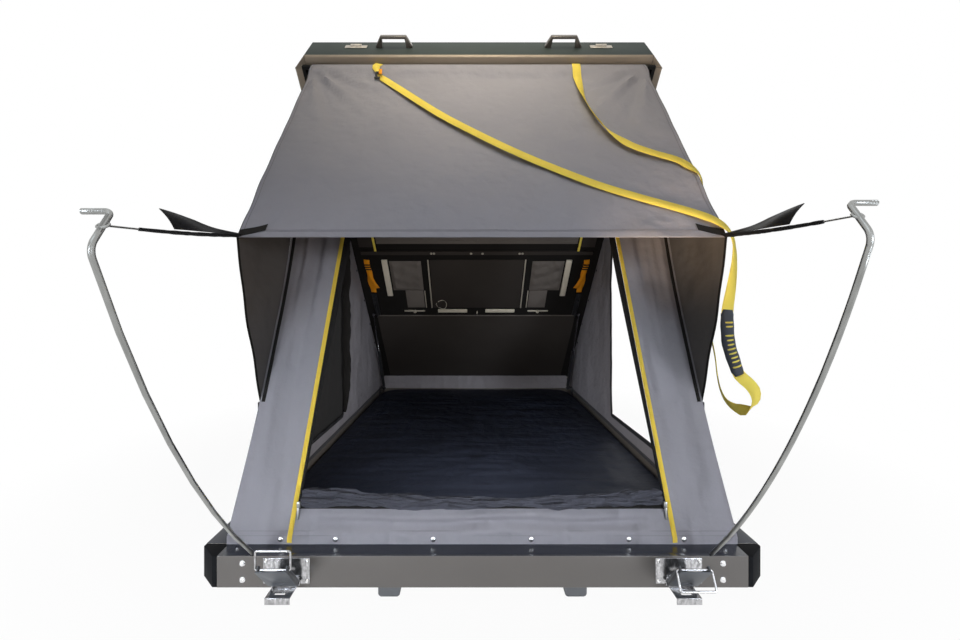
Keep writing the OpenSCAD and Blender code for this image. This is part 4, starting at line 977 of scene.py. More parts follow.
def front_point(c, v, fine=True):
    """Point of the front wall: c from -1 to 1 across, the entrance from -0.5 to 0.5, v from hem to lid."""
    m = abs(c)
    inner, outer = door_half(v), wall_half(v) - waist_in(v) - CANVAS / 2 - SEAT
    s = max(0.0, (m - DOOR_SHARE) / (1 - DOOR_SHARE))
    x = math.copysign(inner * m / DOOR_SHARE if m <= DOOR_SHARE else lerp(inner, outer, s), c)
    w = max(0.0, s - PLAIN_STRIP) / (1 - PLAIN_STRIP)
    fold = FOLD * bump(w) * math.sin(3 * math.pi * w + math.radians(140) * v) * bump(lean(v))
    y = lerp(HEM_Y - CANVAS / 2, WALL_TOP[0], lean(v))
    z = lerp(HEM_Z, WALL_TOP[1], v)
    if fine:
        fold += 0.0065 * rough(x * 9, z * 2.0, 3.1) * bump(min(1, w * 1.6)) * bump(lean(v)) ** 0.5
        fold += 0.0012 * rough(x * 5, z * 22, 9.7) * bump(s) * (1 - lean(v)) ** 2
        pleat = math.sin(2 * math.pi * (2.4 * w + 0.16 * math.sin(5 * v + c)) + 1.3 * c)
        pleat += 0.5 * math.sin(2 * math.pi * 5.1 * w + 3 * v)
        fold += 0.0075 * pleat * bump(min(1, 1.1 * w)) * clamp((v - 0.22) / 0.35)
        q = clamp((v - SKIRT_V) / (SILL_V - SKIRT_V))
        ripple = math.sin(3.4 * math.pi * q + 2.2 * rough(x * 1.6, 2.0, 5.0))
        fold += 0.0080 * bump(q) * ripple * clamp((DOOR_SHARE - 0.03 - m) / 0.08)
    return Vector((x, y - fold, z))


RIBS, WINDOW_RIB = 20, 9
WINDOW_FIRST = 2        # rib at the windows' front edge
WINDOW_LOW, WINDOW_HIGH = 0.055, 0.9
LID_RISE = LINER_Z - SEAT - HINGE_Z
WINDOW_LID_Y = HINGE_Y - (HINGE_Y + LID_RISE * math.sin(OPEN) - FRONT - WINDOW_REAR) / math.cos(OPEN)


def side_point(i, v, inward=0.0, sign=1):
    """Point of a side wall: i counts ribs from the entrance to the hinge, v from hem to lid."""
    if i <= WINDOW_RIB:
        low = lerp(HEM_Y, FRONT + WINDOW_REAR, i / WINDOW_RIB)
        high = lerp(FRONT + LID_INSET + CANVAS, WINDOW_LID_Y, i / WINDOW_RIB)
    else:
        t = (i - WINDOW_RIB) / (RIBS - WINDOW_RIB)
        low = lerp(FRONT + WINDOW_REAR, REAR - HEM_INSET, t)
        high = lerp(WINDOW_LID_Y, REAR - LID_INSET - 0.011, t)
    top = opened(high, LINER_Z - SEAT)
    y, z = lerp(low, top[0], lean(v)), lerp(HEM_Z, top[1], v)
    slack = FOLD * bump(v) * min(1.0, i / 2) * clamp((z - LEDGE - TRACK_HEIGHT) / 0.1)
    depth = slack * (0.5 + 0.5 * math.sin(2 * math.pi * i / 6.5 + math.radians(60) * v))
    depth += slack * (0.9 * abs(rough(y * 4, z * 4, 4.4 + sign)) + 0.3 * (1 + math.sin(26 * y + 9 * z)))
    depth += waist_in(v) * clamp((WINDOW_RIB - i) / (WINDOW_RIB - 1))
    return Vector((sign * (wall_half(v) + CANVAS / 2 - inward - depth), y, z))


PANEL_CELLS, DOOR_CELLS, DOOR_ROWS = 26, 30, 60
ZIP_WIDTH, COIL_WIDTH, COIL_THICK = 0.020, 0.0055, 0.0024
SEAM_HEIGHTS = (0.021, 0.031)
SNAP_X = (0.124, 0.371, 0.510, 0.617)
SNAP_RISE, SNAP_RADIUS, SNAP_HEIGHT = 0.013, 0.0068, 0.0042
PULL_PLACE = (0.009, 0.006, 0.004)     # zip pull inside the entrance's edge, before it and above the sill


class TENT_OT_front_wall(bpy.types.Operator):
    """Front wall with the entrance, its sill, tapes, zips, seams and snaps"""
    bl_idname = "tent.front_wall"
    bl_label = "Front wall"

    def execute(self, context):
        sizes = context.scene.tent_sizes
        columns = (spaced(-1, -DOOR_SHARE, PANEL_CELLS)[:-1]
                   + spaced(-DOOR_SHARE, DOOR_SHARE, DOOR_CELLS)[:-1]
                   + spaced(DOOR_SHARE, 1, PANEL_CELLS))
        low = [0, SKIRT_V * 0.5] + spaced(SKIRT_V, SILL_V, 16)[:-1]
        rows = low + spaced(SILL_V, HEADER_V, DOOR_ROWS) + spaced(HEADER_V, 1, 8)[1:]

        def beside_door(i, j):
            return not (0 <= i - PANEL_CELLS < DOOR_CELLS and 0 <= j - len(low) < DOOR_ROWS)
        grid = [[front_point(c, v) for v in rows] for c in columns]
        wall = piece("front_wall_canvas", [cloth("wall", grid, CLOTH, beside_door)],
                     "canvas", "base", "canvas_grey", "wall_front")

        def door_edge(sign, v, inward, back=0.0):
            return front_point(sign * DOOR_SHARE, v, False) + FRONT_LIFT + Vector((-sign * inward, back, 0))
        tapes, zips = [], []
        for sign in (-1, 1):
            run = [door_edge(sign, v, -0.002) for v in [SKIRT_V * 0.3] + spaced(SKIRT_V, 0.985, 50)]
            tapes.append(tape("tape", run, DOOR_LOOK, sizes.tape_width, 0.0013))
            climb = spaced(SILL_V, HEADER_V, 50)
            broad = [ZIP_WIDTH * lerp(0.3, 1.0, clamp((v - SILL_V) / 0.4)) for v in climb]
            run = [door_edge(sign, v, 0.004 + w / 2, 0.0022) for v, w in zip(climb, broad)]
            zips.append(swept("zip", run, lambda k, t: ribbon(broad[k], 0.0012), DOOR_LOOK))
            run = [door_edge(sign, v, 0.0075, 0.0006) for v in climb]
            zips.append(tape("coil", run, DOOR_LOOK, COIL_WIDTH, COIL_THICK))
            run = [front_point(sign * 0.972, v) + FRONT_LIFT
                   for v in spaced(GUSSET_HEIGHT / WALL_RISE, 0.92, 50)]
            zips.append(tape("join", run, DOOR_LOOK, 0.010, 0.0016))
        run = [front_point(c, SILL_V, False) + Vector((0, -0.0012, -0.004))
               for c in spaced(-DOOR_SHARE, DOOR_SHARE, 40)]
        zips.append(tape("zip", run, DOOR_LOOK, 0.009, COIL_THICK))
        yellow = piece("entrance_tapes", tapes, "tape", "base", "webbing_yellow", "door_trim")
        dark = piece("entrance_zips", zips, "lining", "base", "canvas_dark")
        seams = []
        for z in SEAM_HEIGHTS:
            run = [front_point(c, z / WALL_RISE, False) + Vector((0, -0.0009, 0)) for c in spaced(-1, 1, 60)]
            seams.append(tape("seam", run, AHEAD, 0.0016, 0.0010))
        seam = piece("front_hem_seams", seams, "canvas hem", "base", "canvas_grey")
        stud = domed_stud("snap", (0, HEM_Y - CANVAS / 2 - 0.0005, LEDGE + SNAP_RISE),
                          SNAP_RADIUS, SNAP_HEIGHT)
        snaps = copies(stud, [(sign * x, 0, 0) for sign in (-1, 1) for x in SNAP_X], "front_snaps")
        snaps = piece("front_snaps", [snaps], "bright", "base", "chrome")
        pulls = []
        for sign in (-1, 1):
            p = front_point(sign * DOOR_SHARE, SILL_V, False)
            x, y, z = p.x - sign * PULL_PLACE[0], p.y - PULL_PLACE[1], p.z + PULL_PLACE[2]
            pulls.append(block("slider", (x - 0.005, y - 0.004, z - 0.008),
                               (x + 0.005, y + 0.003, z + 0.008), 0.0018))
            pulls.append(block("tab", (x - 0.003, y - 0.007, z - 0.042),
                               (x + 0.003, y - 0.0045, z - 0.006), 0.001))
        pulls = piece("zip_pulls", pulls, "zinc", "base", "chrome")
        fold_wall(wall, yellow, dark, seam, snaps, pulls)
        return {"FINISHED"}


PER_RIB = 5             # columns of the side walls' mesh for each rib
WINDOW_ROWS = 34
NET_FIRST, NET_LOW, NET_HIGH = 1.8, 0.045, 0.91
FLAP_STEPS = 90
STUD_RIBS = (4.2, 7.0, 9.8, 12.0, 13.8, 15.4, 16.8, 18.0)
SKIRT_HALF = 0.64
SKIRT_STEPS = 90


class TENT_OT_side_walls(bpy.types.Operator):
    """Side walls with bound windows, the left window's insect mesh and the rear skirt"""
    bl_idname = "tent.side_walls"
    bl_label = "Side walls"

    def execute(self, context):
        for side, sign in (("left", -1), ("right", 1)):
            self.wall(side, sign)
        self.left_window()
        studs = []
        for sign in (-1, 1):
            for i in STUD_RIBS:
                v = 1 - 0.028 / max(0.2, side_point(i, 1.0).z - LEDGE)
                place = side_point(i, v, CANVAS + 0.0005, sign)
                studs.append(domed_stud("stud", place, 0.006, 0.004, (-sign, 0, 0)))
        fold_wall(piece("side_wall_studs", studs, "black metal", "base", "black_metal"))
        self.rear_skirt()
        return {"FINISHED"}

    def wall(self, side, sign):
        columns = [k / PER_RIB for k in range(RIBS * PER_RIB + 1)]
        low = [0, SKIRT_V, 0.028]
        rows = low + spaced(WINDOW_LOW, WINDOW_HIGH, WINDOW_ROWS) + [0.925, 0.95, 0.975, 1.0]
        first, last = WINDOW_FIRST * PER_RIB, WINDOW_RIB * PER_RIB

        def beside_window(i, j):
            column = i if sign > 0 else len(columns) - 2 - i
            return not (first <= column < last and 0 <= j - len(low) < WINDOW_ROWS)
        grid = [[side_point(i, v, 0, sign) for v in rows] for i in columns][::sign]
        wall = piece(f"side_wall_{side}_canvas", [cloth("wall", grid, CLOTH, beside_window)],
                     "canvas", "base", "canvas_grey", f"wall_{side}")
        around = ([(i, WINDOW_LOW) for i in spaced(WINDOW_FIRST, WINDOW_RIB, 40)[:-1]]
                  + [(WINDOW_RIB, v) for v in spaced(WINDOW_LOW, WINDOW_HIGH, 50)[:-1]]
                  + [(i, WINDOW_HIGH) for i in spaced(WINDOW_RIB, WINDOW_FIRST, 30)[:-1]]
                  + [(WINDOW_FIRST, v) for v in spaced(WINDOW_HIGH, WINDOW_LOW, 50)])
        bindings = []
        for inward in (-0.0008, CLOTH + 0.0008):
            run = [side_point(i, v, inward, sign) for i, v in around]
            bindings.append(tape("binding", run, (sign, 0, 0.01), 0.017, 0.0014))
        binding = piece(f"window_binding_{side}", bindings, "binding", "base", "canvas_dark")
        fold_wall(wall, binding)

    def left_window(self):
        """Insect mesh behind the left window and the window's flap, tied up at its rear edge."""
        def slack(i, v):
            wave = 0.5 + 0.5 * math.sin(i * 5 + 3 * v)
            high = bump((v - NET_LOW) / (NET_HIGH - NET_LOW))
            return bump((i - NET_FIRST) / (WINDOW_RIB - NET_FIRST)) * wave * high
        net = [[side_point(i, v, CANVAS + 0.0009 + 0.006 * slack(i, v), -1)
                for v in spaced(NET_LOW, NET_HIGH, 44)]
               for i in spaced(NET_FIRST, WINDOW_RIB, 48)][::-1]
        mesh = piece("window_mesh_net", [cloth("net", net)], "mesh", "base", "mesh", "window_mesh_left")

        climb = [side_point(WINDOW_RIB - 0.12 + 0.10 * math.sin(9 * q) + 0.05 * math.sin(31 * q),
                            lerp(0.07, 0.955, q), 0.014, -1) for q in spaced(0, 1, FLAP_STEPS)]

        def tied(k, t):
            slim = min(1.0, 0.25 + 5 * t, 0.2 + 9 * (1 - t))
            return [(w * 0.009 * slim * (1 + 0.3 * rough(t * 14, w, h)),
                     h * 0.022 * slim * (1 + 0.35 * rough(t * 11, h, 3.0))) for w, h in oval(1.0, 1.0, 20)]
        flap = piece("window_flap_roll", [swept("flap", climb, tied, (1, 0, 0))],
                     "lining", "base", "canvas_dark")
        fold_wall(mesh, flap)

    def rear_skirt(self):
        y0 = REAR - RAIL_DEPTH - CANVAS - SEAT
        z0 = LEDGE + TRACK_HEIGHT + 0.002
        y1, z1 = opened(REAR - 0.06, LINER_Z - SEAT)
        profile = [(y0, LEDGE - 0.010), (y0, LEDGE + 0.004)]
        profile += [(lerp(y0, y1, q), lerp(z0, z1, q)) for q in spaced(0, 1, 6)]

        def point(k, j):
            y, z = profile[j]
            wave = 0.0015 * math.sin(6 * math.pi * k / SKIRT_STEPS) - 0.0015
            crumple = 0.0014 * rough(k * 0.13, j * 0.2, 1.0) * bump(j / (len(profile) - 1))
            return Vector((lerp(SKIRT_HALF, -SKIRT_HALF, k / SKIRT_STEPS), y + wave + crumple, z))
        grid = [[point(k, j) for j in range(len(profile))] for k in range(SKIRT_STEPS + 1)]
        rear = piece("rear_skirt_canvas", [cloth("skirt", grid, CLOTH, offset=1)],
                     "canvas", "base", "canvas_grey", "wall_rear")
        fold_wall(rear)


ACROSS, UPWARD = 96, 60     # cells of the awning's mesh
HEM_SHARE = 0.026
PATCH_INNER = 0.895
GUSSET_TOP = 0.94
GUSSET_V = GUSSET_HEIGHT / WALL_RISE


def awning_point(c, t):
    """Point of the awning: c from -1 to 1 across, t from the free edge to the lid."""
    up = t * (1 - BAND_STOP / AWNING_RUN)
    y = lerp(AWNING_EDGE[0], AWNING_TOP[0], up)
    z = lerp(AWNING_EDGE[1], AWNING_TOP[1], up)
    sag = (0.010 * bump(t) * (1 - c * c)
           + FOLD * 0.5 * bump(t) * math.sin(2.4 * math.pi * c + math.radians(60) * t))
    sag += 0.009 * rough(c * 2.6 + t * 1.5, t * 2.4 - c, 6.0) * bump(t) ** 0.5
    side = 1 - abs(c)
    low = math.exp(-(side ** 2 / 0.05 + t * t / 0.08))
    sag += 0.0035 * low * math.sin(46 * side - 30 * t) * min(1.0, 12 * t)
    high = math.exp(-(side ** 2 / 0.10 + (1 - t) ** 2 / 0.10))
    around = math.atan2(side * 0.65, 1.02 - t)
    pleat = math.sin(15 * around + 2 * abs(c)) + 0.6 * math.sin(31 * around + 5 * t)
    sag += 0.014 * high * pleat * min(1.0, 9 * (1 - t)) * min(1.0, 8 * side + 0.25)
    x = lerp(AWNING_HALF, HALF - LID_INSET - 0.016, t * t) * c
    x *= 1 - 0.012 * clamp((t - 0.93) / 0.07) ** 2
    return Vector((x, y, z)) + AWNING_OUT * (lifted(up) - sag)


def gusset_point(s, t, sign):
    """Point of a gusset: s from the awning's side edge to the wall, t from the free edge to the lid."""
    v = lerp(GUSSET_V, GUSSET_TOP, t)
    a = awning_point(sign, t)
    a.x = abs(a.x)
    w = Vector((wall_half(v) - waist_in(v) + CANVAS / 2,
                lerp(HEM_Y, WALL_TOP[0], v), lerp(HEM_Z, WALL_TOP[1], v)))
    p = a.lerp(w, s)
    swell = 0.005 * (0.6 + 0.4 * math.sin(2 * math.pi * s)) + 0.004 * (0.5 + 0.5 * math.sin(15 * s + 4 * t))
    p.x = sign * (p.x + CANVAS / 2 + SEAT + swell * bump(s) * (1 - t))
    return p


class TENT_OT_awning(bpy.types.Operator):
    """Awning with hem, corner patches and the dark gussets that close its sides"""
    bl_idname = "tent.awning"
    bl_label = "Awning"

    def execute(self, context):
        columns = spaced(-1, 1, ACROSS)
        rows = [[awning_point(c, t) for t in spaced(0, 1, UPWARD)] for c in columns]
        cover = piece("awning_canvas", [cloth("cover", rows, CLOTH)],
                      "canopy painted light", "lid", "canvas_grey", "awning")
        rows = [[awning_point(c, HEM_SHARE * q) + AWNING_OUT * (0.0005 + 0.0006 * bump(q))
                 for q in spaced(0, 1, 4)] for c in columns]
        hem = piece("awning_hem", [cloth("hem", rows, 0.0008)], "canopy painted light", "lid", "canvas_grey")
        runs = [([(c, t) for c in columns], 0.0015) for t in (0.024, 0.029)]
        runs += [([(sign * 0.985, t) for t in spaced(0, 1, UPWARD)], 0.0016) for sign in (-1, 1)]
        seams = [tape("seam", [awning_point(c, t) + AWNING_OUT * 0.0008 for c, t in run], UP, width, 0.0012)
                 for run, width in runs]
        seam = piece("awning_seams", seams, "canvas hem", "lid", "canvas_grey")
        patches = []
        for sign in (-1, 1):
            grid = [[awning_point(sign * lerp(PATCH_INNER, 1.0, q), lerp(HEM_SHARE, 0.0, q) + t)
                     + AWNING_OUT * 0.0026 for t in spaced(0, 0.028, 6)] for q in spaced(0, 1, 10)]
            patches.append(cloth("patch", grid[::sign], 0.001))
        patch = piece("awning_corner_patches", patches, "lining", "lid", "canvas_dark")

        gussets, trims = [], []
        for side, sign in (("left", -1), ("right", 1)):
            grid = [[gusset_point(s, t, sign) for t in spaced(GUSSET_TOP, 0, 44)] for s in spaced(0, 1, 24)]
            gussets.append(piece(f"awning_gusset_{side}", [cloth("gusset", grid[::sign], 0.0012)],
                                 "gusset", "lid", "canvas_dark", "awning_gussets"))
            edge = [row[-1] for row in grid]
            run = [p + Vector((-sign * 0.0012, 0, 0.004)) for p in edge]
            trims.append(tape("trim", run, (sign, 0, 0), 0.010, 0.0024))
            tip = edge[-1]
            trims.append(block("slider", tip + Vector((-0.004, -0.006, -0.030)),
                               tip + Vector((0.004, 0.002, -0.002)), 0.0015))
        trim = piece("awning_gusset_trim", trims, "lining", "lid", "canvas_dark")
        for gusset, extras in zip(gussets, ([trim], [])):
            round(cut_area(gusset), 3)
            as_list(extras)
        fold_awning(cover, hem, seam, patch, trim, *gussets)
        return {"FINISHED"}


BED_HEIGHT, BED_CROWN = 0.050, 0.004
BED_GAP = 0.010             # between the mattress and the rails
BED_CORNER = 0.16           # how square the corners are: nought would be sharp
BED_AROUND, BED_RINGS = 240, 44
BED_LOW = BED_FLOOR + SEAT
BED_TOP = BED_LOW + BED_HEIGHT
# Border from the underside to the top: inset from the outline, and height
BED_BORDER = [
    (0.012, BED_LOW), (0.006, BED_LOW + 0.0015), (0.003, BED_LOW + 0.004), (0.0005, BED_LOW + 0.010),
    (0.003, BED_LOW + 0.018), (0.004, (BED_LOW + BED_TOP) / 2), (0.003, BED_TOP - 0.018),
    (0.0002, BED_TOP - 0.010), (-0.001, BED_TOP - 0.006),
    (0.001, BED_TOP - 0.003), (0.004, BED_TOP - 0.0005), (0.014, BED_TOP),
    (0.03, BED_TOP + BED_CROWN * 0.12)]
BED_MIDDLE = 0.60
ROLL_RADIUS, ROLL_DROP, ROLL_GAP = 0.026, 0.009, 0.016
ROLL_STEPS, ROLL_SIDES = 150, 28


def bed_point(inset, z, a):
    """Point of the mattress: inset from its outline, height, and the angle round its middle."""
    hx, hy = HALF - RAIL_DEPTH - BED_GAP - inset, -FRONT - RAIL_DEPTH - BED_GAP - inset
    x = hx * math.copysign(abs(math.cos(a)) ** BED_CORNER, math.cos(a))
    y = hy * math.copysign(abs(math.sin(a)) ** BED_CORNER, math.sin(a))
    crease = 0.0
    if inset > 0.01 and z > BED_LOW + 0.03:
        fade = clamp((inset - 0.01) / 0.08)
        ridge = max(0.0, 1 - 3.2 * abs(rough(x * 1.3 + 0.5 * y, y * 6.5, 7.0))) ** 2
        crease = fade * (0.005 * rough(x * 2.2, y * 3.4, 2.0) + 0.007 * ridge - 0.003)
    return Vector((x, y, z + crease - (0.0012 if inset > 0.02 else 0)))


class TENT_OT_bedding(bpy.types.Operator):
    """Mattress with drawn-in sides, piping and creases, and the door rolled up on the sill"""
    bl_idname = "tent.bedding"
    bl_label = "Bedding"

    def execute(self, context):
        levels = BED_BORDER + [
            (lerp(BED_BORDER[-1][0], BED_MIDDLE, q),
             BED_TOP + BED_CROWN * math.sin(math.pi / 2 * lerp(0.12, 1.0, q ** 0.6)))
            for q in spaced(0, 1, BED_RINGS)[1:]]
        angles = [2 * math.pi * (k + 0.5) / BED_AROUND for k in range(BED_AROUND + 1)]
        bed = cloth("bed", [[bed_point(inset, z, a) for inset, z in levels] for a in angles])
        edit(bed, ("remove_doubles", {"threshold": 0.00005}), ("select_all", {"action": "DESELECT"}),
             ("select_non_manifold", {}), ("edge_face_add", {}), ("select_all", {"action": "SELECT"}),
             OUTWARD)
        bed = piece("mattress_cover", [smooth(bed, 50)], "bedding", "base", "mattress_cover", "mattress")

        v = SILL_V + (ROLL_RADIUS + SEAT) / WALL_RISE
        half = door_half(v) - ROLL_GAP
        y, z = front_point(0, SILL_V, False).y + CANVAS / 2, lerp(HEM_Z, WALL_TOP[1], v) - ROLL_DROP
        path = []
        for c in spaced(-1, 1, ROLL_STEPS):
            droop = 0.42 * ROLL_RADIUS * (1 - abs(c) ** 1.6) - 0.005 * abs(c) ** 3
            path.append(Vector((half * c, y, z - droop)))

        def bundle(k, t):
            lump = 0.56 + 0.44 * abs(2 * t - 1) ** 1.6 + 0.05 * math.sin(9 * math.pi * t)
            end = clamp(min(k, ROLL_STEPS - k) / 3) ** 0.5 * 0.3 + 0.7
            ring = []
            for q in range(ROLL_SIDES):
                a = 2 * math.pi * q / ROLL_SIDES
                w, h = math.cos(a), math.sin(a)
                crumple = rough(t * 6, 2.6 * w, 2.6 * h)
                r = 0.80 + 0.08 * math.sin(3 * a + 7 * t) + 0.50 * crumple
                r += 0.22 * rough(t * 26, 4 * w, 4 * h) + 0.10 * math.sin(46 * t + 5 * a) * crumple
                r = min(ROLL_RADIUS * lump * end * r, ROLL_RADIUS)
                ring.append((r * w, -r * h))
            return ring
        roll = piece("door_roll_cloth", [swept("roll", path, bundle, (0, 0, 1))],
                     "roll", "base", "canvas_dark", "door_roll")
        fold_wall(roll)
        return {"FINISHED"}


def under(x0, x1, y0, y1, depth, edge=0.0015, top=0.0):
    """Bar under the liner: x from the middle, y behind the front face, drawn closed."""
    return block("bar", (x0, FRONT + y0, LINER_Z - depth), (x1, FRONT + y1, LINER_Z - top), edge)


def below_liner(x, y, depth):
    """Point under the liner: x from the middle, y behind the front face, drawn closed."""
    return Vector((x, FRONT + y, LINER_Z - depth))


def ceiling_piece(name, parts, look, slot, *nodes):
    """A piece of parts drawn under the closed lid, carried to the open one."""
    return piece(name, [on_lid(join(name, parts))], look, "lid", slot, *nodes)


POUCH_X, POUCH_Y = (0.300, 0.472), (1.039, 1.261)
LASHING_X = 0.589
LADDER_Y = (1.062, 1.078, 1.094)
RIVET_X = (-0.24, -0.225, -0.03, 0.03, 0.225, 0.24)
CROSSBAR_Y = 0.976
TOGGLE_Y = 1.432
CABLE_X, CABLE_Y = -0.205, 1.372


def pouch_point(s, t, sign):
    """Point of a filled pocket: s from its inner to its outer side, t from front to rear."""
    x, y = lerp(*POUCH_X, s) * sign, FRONT + lerp(*POUCH_Y, t)
    full = clamp(min(s, 1 - s) * 9) * clamp(min(t * 12, (1 - t) * 9))
    depth = 0.0008 + full * (0.011 + 0.006 * rough(x * 16, y * 13, 2.0) + 0.003 * math.sin(18 * t + 6 * s))
    return Vector((x, y, LINER_Z - depth))


class TENT_OT_ceiling(bpy.types.Operator):
    """Ceiling board, panel, pockets, lights, hangers, crossbar and lashing straps under the lid"""
    bl_idname = "tent.ceiling"
    bl_label = "Ceiling"

    def execute(self, context):
        liner = node_copy("ceiling_liner", "ceiling_liner_cloth", 0.002)
        piece("ceiling_liner_cloth", [liner], "lining", "lid", "canvas_dark", "ceiling_liner")
        self.boards()
        self.hangers()
        self.pouches()
        self.straps()
        return {"FINISHED"}

    def boards(self):
        board = under(-0.598, 0.598, 1.477, 2.108, 0.005, 0.002)
        panel = under(-0.254, 0.254, 1.027, 1.405, 0.006, 0.002)
        sides = mirrored(under(0.540, 0.614, 0.330, 0.940, 0.004, 0.0015))
        crossbar = under(-0.610, 0.610, CROSSBAR_Y - 0.012, CROSSBAR_Y + 0.012, 0.012, 0.003)
        ceiling_piece("ceiling_boards", [board, panel, sides, crossbar],
                      "board", "black_plastic", "ceiling_fittings")
        pocket = [under(-0.520, 0.520, 0.330, 0.915, 0.008, 0.003)]
        pocket += [under(-0.515, 0.515, y, y + 0.012, 0.0105, 0.001, 0.006) for y in (0.340, 0.890)]
        pocket += [under(x - 0.006, x + 0.006, 0.345, 0.900, 0.0105, 0.001, 0.006)
                   for x in (-0.26, 0.0, 0.26)]
        ceiling_piece("ceiling_front_pocket", pocket, "pocket", "canvas_dark")
        edge = under(-0.597, 0.597, 1.4745, 1.4785, 0.0065, 0.001)
        ceiling_piece("ceiling_board_edge", [edge], "pocket", "canvas_dark")

    def hangers(self):
        """Hanger rods, toggles, hook, rivets, lamp covers and the loop of cable."""
        rails = [mirrored(pin("hanger", below_liner(x, (low + high) / 2, r), r, high - low, "Y"))
                 for x, low, high, r in ((0.262, 1.027, 1.405, 0.004), (0.295, 1.265, 1.405, 0.003))]
        ceiling_piece("ceiling_rails", rails, "pale", "bare_aluminium")
        toggles = [mirrored(pin("toggle", below_liner(0.367, TOGGLE_Y, 0.0055), 0.005, 0.121, "X")),
                   mirrored(pin("knob", below_liner(0.364, TOGGLE_Y, 0.0105), 0.009, 0.014, "Z", 0.002)),
                   pin("hook", below_liner(0.005, TOGGLE_Y + 0.008, 0.012), 0.004, 0.020, "Z", 0.001)]
        toggles += [domed_stud("rivet", below_liner(x, CROSSBAR_Y, 0.012), 0.0065, 0.004, DOWN)
                    for x in RIVET_X]
        ceiling_piece("ceiling_toggles", toggles, "pale", "steel")
        lamps = [mirrored(under(0.054, 0.228, 1.420, 1.444, 0.010, 0.003)),
                 mirrored(under(0.4795, 0.5105, 1.027, 1.302, 0.010, 0.003))]
        ceiling_piece("ceiling_lamp_covers", lamps, "light", "light_cover", "ceiling_lights")
        loop = [below_liner(CABLE_X + 0.030 * math.cos(a), CABLE_Y + 0.035 * math.sin(a),
                            0.010 + 0.006 * math.sin(2 * a)) for a in spaced(-2.2, 3.6, 40)]
        cable = swept("cable", loop, lambda k, t: oval(0.0022, 0.0022, 10), (0, 0, 1))
        ceiling_piece("ceiling_cable", [cable], "pale", "steel")

    def pouches(self):
        parts = []
        for sign in (-1, 1):
            grid = [[pouch_point(s, t, sign) for t in spaced(0, 1, 32)] for s in spaced(0, 1, 28)]
            parts.append(cloth("pouch", grid[::-sign], 0.0012))
        parts.append(mirrored(under(0.303, 0.405, 1.262, 1.405, 0.003, 0.001)))
        ceiling_piece("ceiling_pouches", parts, "pocket", "canvas_dark", "ceiling_pockets")

    def straps(self):
        """Orange lashing straps with their ladder buckles, and the yellow tapes before the crossbar."""
        straps, buckles, ends = [], [], []
        for sign in (-1, 1):
            run = [below_liner(sign * (LASHING_X + 0.003 * math.sin(q * 12)), lerp(1.029, 1.276, q),
                               0.0016 + 0.004 * bump(q)) for q in spaced(0, 1, 30)]
            straps.append(tape("lashing", run, DOWN, 0.030, 0.0022))
            run = [below_liner(sign * (LASHING_X - 0.030 * q ** 1.5), lerp(1.095, 1.235, q),
                               0.006 + 0.010 * bump(q) + 0.004 * q) for q in spaced(0, 1, 20)]
            straps.append(tape("tail", run, DOWN, 0.026, 0.002))
            middle = sign * LASHING_X
            buckles += [block("ladder", below_liner(middle - 0.017, y - 0.003, 0.0095),
                              below_liner(middle + 0.017, y + 0.003, 0.0035), 0.0012) for y in LADDER_Y]
            run = [below_liner(sign * 0.531, lerp(0.700, 0.962, q), 0.0095 + 0.003 * bump(q))
                   for q in spaced(0, 1, 12)]
            ends.append(tape("end", run, DOWN, 0.012, 0.002))
        ceiling_piece("ceiling_yellow_tapes", ends, "yellow", "webbing_yellow")
        ceiling_piece("ceiling_lashings", straps, "orange", "webbing_orange", "ceiling_straps")
        ceiling_piece("ceiling_buckles", buckles, "plastic", "black_plastic")


# Metal and moulded pieces: finish, rounding of the edges in millimetres, and CAD nodes
BASE_RAILS = [f"base_{side}_rail" for side in ("front", "rear", "left", "right")]
LID_FRAME = [f"lid_{side}_rail" for side in ("front", "rear", "left", "right")] + ["lid_corners"]
METAL = [
    ("base", 1.6, BASE_RAILS), ("casting", 2.5, ["base_corners"]), ("cap", 1.2, ["rail_end_caps"]),
    ("black metal", 0.8, ["mounting_rail_left", "mounting_rail_right"]), ("bright", 0.6, ["corner_screws"]),
    ("chrome", 0.6, ["latch_left_plate", "latch_right_plate"]), ("bright", 0.5, ["latch_bolts"]),
    ("lever", 0.6, ["latch_left_lever", "latch_right_lever"]), ("keeper", 0.5, ["latch_keepers"]),
    ("handle", 2.2, ["lid_handle_left", "lid_handle_right"]),
    ("lid", 1.4, LID_FRAME), ("lid", 1.2, ["lid_skin"]),
    ("black metal", 0.5,
     ["hinge_base_leaves", "hinge_lid_leaves", "strut_base_brackets", "lid_strut_brackets"]),
    ("zinc", 0, ["awning_rod_left", "awning_rod_right"]),
    ("chrome", 0, ["latch_left_bail", "latch_right_bail"]),
    ("black metal", 0, ["strut_left_cylinder", "strut_right_cylinder"]),
    ("chrome", 0, ["strut_left_rod", "strut_right_rod"]), ("aluminium", 0, ["hinge_pins"])]
# CAD nodes shown as they are, with a finish
PLAIN = {"base_floor": "aluminium", "tent_track": "track", "rod_sockets": "plastic", "lid_ribs": "aluminium",
         "lid_seal": "rubber"}
LID_UNDER = 0.128           # underside of the lid's frame, lid closed
BAND_HEIGHT = 0.0245
LID_INNER = 0.5             # further out, faces that look to the middle are the frame's inner side


